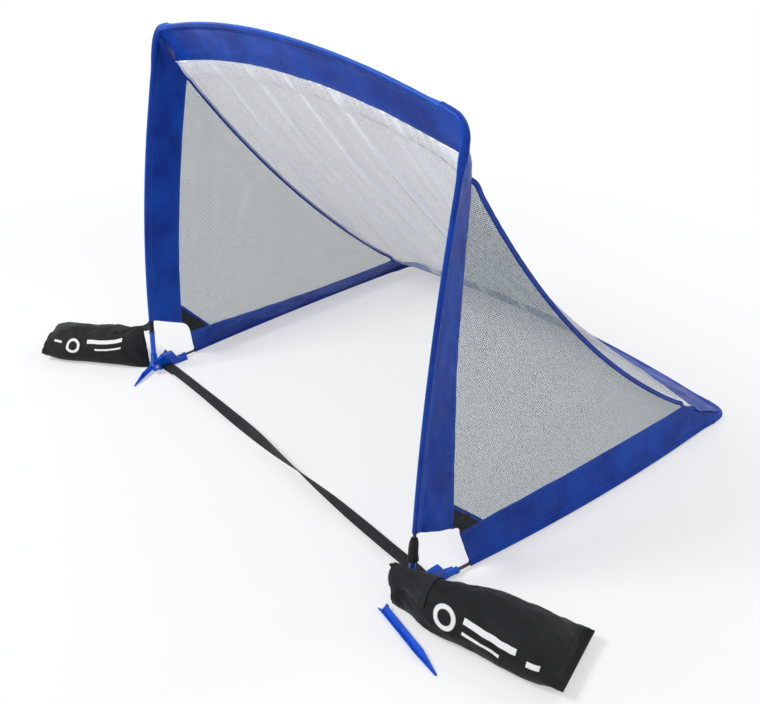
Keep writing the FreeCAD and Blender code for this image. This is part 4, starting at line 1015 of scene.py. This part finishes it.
loop_web = webbing("loop_webbing", rgb(24, 24, 26), 0.0018)
flap_cloth = webbing("flap_fabric", rgb(30, 30, 33), 0.0013)
for side, sign in SIDES:
    start, along, across = bag_axes(side, sign)
    place, normal, uv = bag_grid(side, sign)
    bag = closed_tube(side + "_bag_cloth", place, uv)
    fabric = bag_fabric(side + "_bag_fabric", MARKS[side])
    dress(bag, fabric, "bag_cloth", side + "_bag", side + "_sand_fill")
    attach(bag, side + "_bag")

    # piping down the two end seams
    for end, index in (("near", 3), ("far", -4)):
        ring = place[index]
        ring_line = Line(np.concatenate([ring, ring[:1]]))
        s = np.linspace(0, ring_line.length, 120)
        piping = tube(side + "_" + end + "_seam", ring_line.at(s), np.full(120, PIPING_RADIUS), 8)
        dress(piping, loop_web, "bag_cloth", body=side + "_bag")

    # the flap over the bag's mouth
    rows_at = (place - start) @ along
    across_at = (place - start) @ across
    first_reach, last_reach, lip, least_across = FLAP[side]
    inside = (rows_at[:, 0] > first_reach) & (rows_at[:, 0] < last_reach)
    strips = []
    for row, out, cross_at in zip(place[inside], normal[inside], across_at[inside]):
        chosen = (row[:, 2] > lip) & (cross_at > least_across)
        line = Line((row + out * FLAP_OFF)[chosen])
        strips.append(line.at(np.linspace(0, line.length, 30)))
    strips = np.array(strips)
    flap_uv = uv_grid(np.linspace(0, FLAP_LONG, len(strips))[:, None], np.linspace(0, FLAP_WIDE, 30)[None])
    flap = solid_sheet(side + "_flap_cloth", strips, FLAP_THICK, flap_uv)
    dress(flap, flap_cloth, "webbing", side + "_bag_flap", body=side + "_bag")

    # the loop that ties it to the post, and its tail
    points = distinct(vertices(side + "_bag_loop"))
    s, away = post[side].nearest(points)
    ring_most, taller, profile = LOOP[side]
    on_ring = away < ring_most
    low_s, high_s = s[on_ring].min(), s[on_ring].max()
    radius = away[on_ring].min()
    axis = post[side].way(low_s)
    foot, head = post[side].at(low_s), post[side].at(high_s)
    tall = (high_s - low_s) * taller
    loop = ring_band(side + "_tie_loop", foot, axis, radius, tall, WEB_THICK, 401, profile)
    tail = points[away > away.max() * 0.8]
    away_from = unit((tail.mean(0) - foot) * [1, 1, 0])
    root_low, root_high = foot + away_from * radius, head + away_from * radius
    t, v = np.linspace(0, 1, 24)[:, None, None], np.linspace(0, 1, 12)[None, :, None]
    below = tail.mean(0) * [1, 1, 0]
    end_low, end_high = below + Z * tail[:, 2].min(), below + Z * tail[:, 2].max()
    strip = (root_low * (1 - v) + root_high * v) * (1 - t) + (end_low * (1 - v) + end_high * v) * t
    strip = strip + np.cross(away_from, Z) * (0.0022 * np.sin(math.pi * t) * (0.4 + v))
    strip = strip - Z * (0.004 * np.sin(math.pi * t))
    tie_tail = solid_sheet(side + "_tie_tail", strip, WEB_THICK, uv_grid(t[..., 0] * 0.05, v[..., 0] * 0.03))
    dress(loop, loop_web, "webbing", side + "_bag_loop", body=side + "_bag")
    dress(tie_tail, loop_web, "webbing", body=side + "_bag")


# ---- rigid pieces: the frame's own solids with better finishes ----
socket_blue = plastic("socket_plastic", rgb(6, 88, 206), rgb(4, 66, 176), 0.28)
stake_blue = plastic("stake_plastic", rgb(5, 92, 220), rgb(3, 66, 186), 0.24)
steel = metal("pin_steel", rgb(176, 176, 180), 0.28)
alloy = metal("ferrule_alloy", rgb(196, 197, 200), 0.30)
rod_resin = resin_rod()
# the material and the bevel of the nodes whose names end so
FINISH = {"socket": (socket_blue, 0.0009), "stake": (stake_blue, 0.0005), "pin": (steel, 0.0004),
          "ferrule": (alloy, 0.0003), "rod": (rod_resin, 0.0003)}
for name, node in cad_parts.items():
    for word, (material, edge) in FINISH.items():
        if name.endswith(word):
            node.data.materials.clear()
            node.data.materials.append(material)
            add_modifier(node, "BEVEL", width=edge, segments=2, limit_method="ANGLE", angle_limit=0.6)
            add_modifier(node, "WEIGHTED_NORMAL", keep_sharp=False)


# ---- what moves with what ----
for side, _ in SIDES:
    for piece in (panel[side][part] for part in ("net", "hem_tape", "patch", "trim")):
        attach(piece, "base")
        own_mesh(piece)
    post_way = unit(post[side].at(post[side].length) - post[side].at(0.0))
    middle = post[side].at(post[side].length * 0.5)
    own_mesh(sleeves[side + "_post_sleeve"])
    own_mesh(sleeves[side + "_base_sleeve"])
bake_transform(back)


# ---- stage, light and camera ----
FLOOR_HALF = 60.0
floor_points = FLOOR_HALF * np.array([[-1, -1, 0], [1, -1, 0], [1, 1, 0], [-1, 1, 0]])
floor = mesh_piece("studio_floor", floor_points, [(0, 1, 2, 3)], soft=False)
f = Nodes("pale_floor")
f.set(Base_Color=(0.93, 0.93, 0.93, 1.0), Roughness=0.9)
ray = f.add("LightPath")
# seen directly, in gloss or through gaps, the floor fades to white away from the object
white = f.add("Emission", {"Color": (1.0, 1.0, 1.0, 1.0), "Strength": 1.0})
spread = f.add("VectorMath", {0: f.place()}, operation="LENGTH")
faded = f.range(spread.outputs["Value"], 1.1, 2.4, 0.45, 1.0)
shown = f.math("MAXIMUM", ray.outputs["Is Camera Ray"], ray.outputs["Is Glossy Ray"])
shown = f.math("MAXIMUM", shown, ray.outputs["Is Transmission Ray"])
mixed = f.add("MixShader", {0: f.times(shown, faded), 1: f.shader.outputs[0], 2: white.outputs[0]})
f.put(f.output.inputs[0], mixed.outputs[0])
floor.data.materials.append(f.owner)

w = Nodes("studio", "World")
bpy.context.scene.world = w.owner
ray = w.add("LightPath")
seen = w.math("MAXIMUM", ray.outputs["Is Camera Ray"], ray.outputs["Is Glossy Ray"])
sky = w.add("Background", {0: (0.92, 0.95, 1.0, 1.0), 1: 0.50})
backdrop = w.add("Background", {0: (1.0, 1.0, 1.0, 1.0), 1: 1.0})
mixed = w.add("MixShader", {0: seen, 1: sky.outputs[0], 2: backdrop.outputs[0]})
w.put(w.output.inputs[0], mixed.outputs[0])


def lamp(name, place, aim, size, power, colour=(1.0, 1.0, 1.0)):
    light = bpy.data.lights.new(name, "AREA")
    light.shape, light.size, light.energy, light.color = "DISK", size, power, colour
    piece = bpy.data.objects.new(name, light)
    bpy.context.scene.collection.objects.link(piece)
    piece.location = place
    piece.rotation_euler = (Vector(aim) - Vector(place)).to_track_quat("-Z", "Y").to_euler()


lamp("key", (-1.2, -2.6, 3.6), (0, 0.4, 0.3), 1.5, 125)
lamp("fill", (3.4, -0.4, 2.4), (0, 0.4, 0.3), 2.6, 18, (0.96, 0.98, 1.0))
lamp("rim", (0.6, 3.6, 2.8), (0, 0.4, 0.4), 2.0, 40)

camera = bpy.data.objects.new("photo_camera", bpy.data.cameras.new("photo_camera"))
bpy.context.scene.collection.objects.link(camera)
CAMERA_PLACE = (1.683388, -0.922328, 1.452600)
LENS, SENSOR = 42.63, 36.0
yaw, pitch, roll = -0.901555, -0.534296, -0.027806
ahead = np.array([math.cos(pitch) * math.sin(yaw), math.cos(pitch) * math.cos(yaw), math.sin(pitch)])
level = np.array([math.cos(yaw), -math.sin(yaw), 0.0])
over = np.cross(level, ahead)
right = level * math.cos(roll) + over * math.sin(roll)
over = -level * math.sin(roll) + over * math.cos(roll)
matrix = np.eye(4)
matrix[:3] = np.stack([right, over, -ahead, CAMERA_PLACE], 1)
camera.matrix_world = Matrix(matrix.tolist())
camera.data.lens, camera.data.sensor_width = LENS, SENSOR
camera.data.clip_end = 200.0
bpy.context.scene.camera = camera
bpy.context.scene.view_settings.view_transform = "Standard"

bpy.context.view_layer.update()
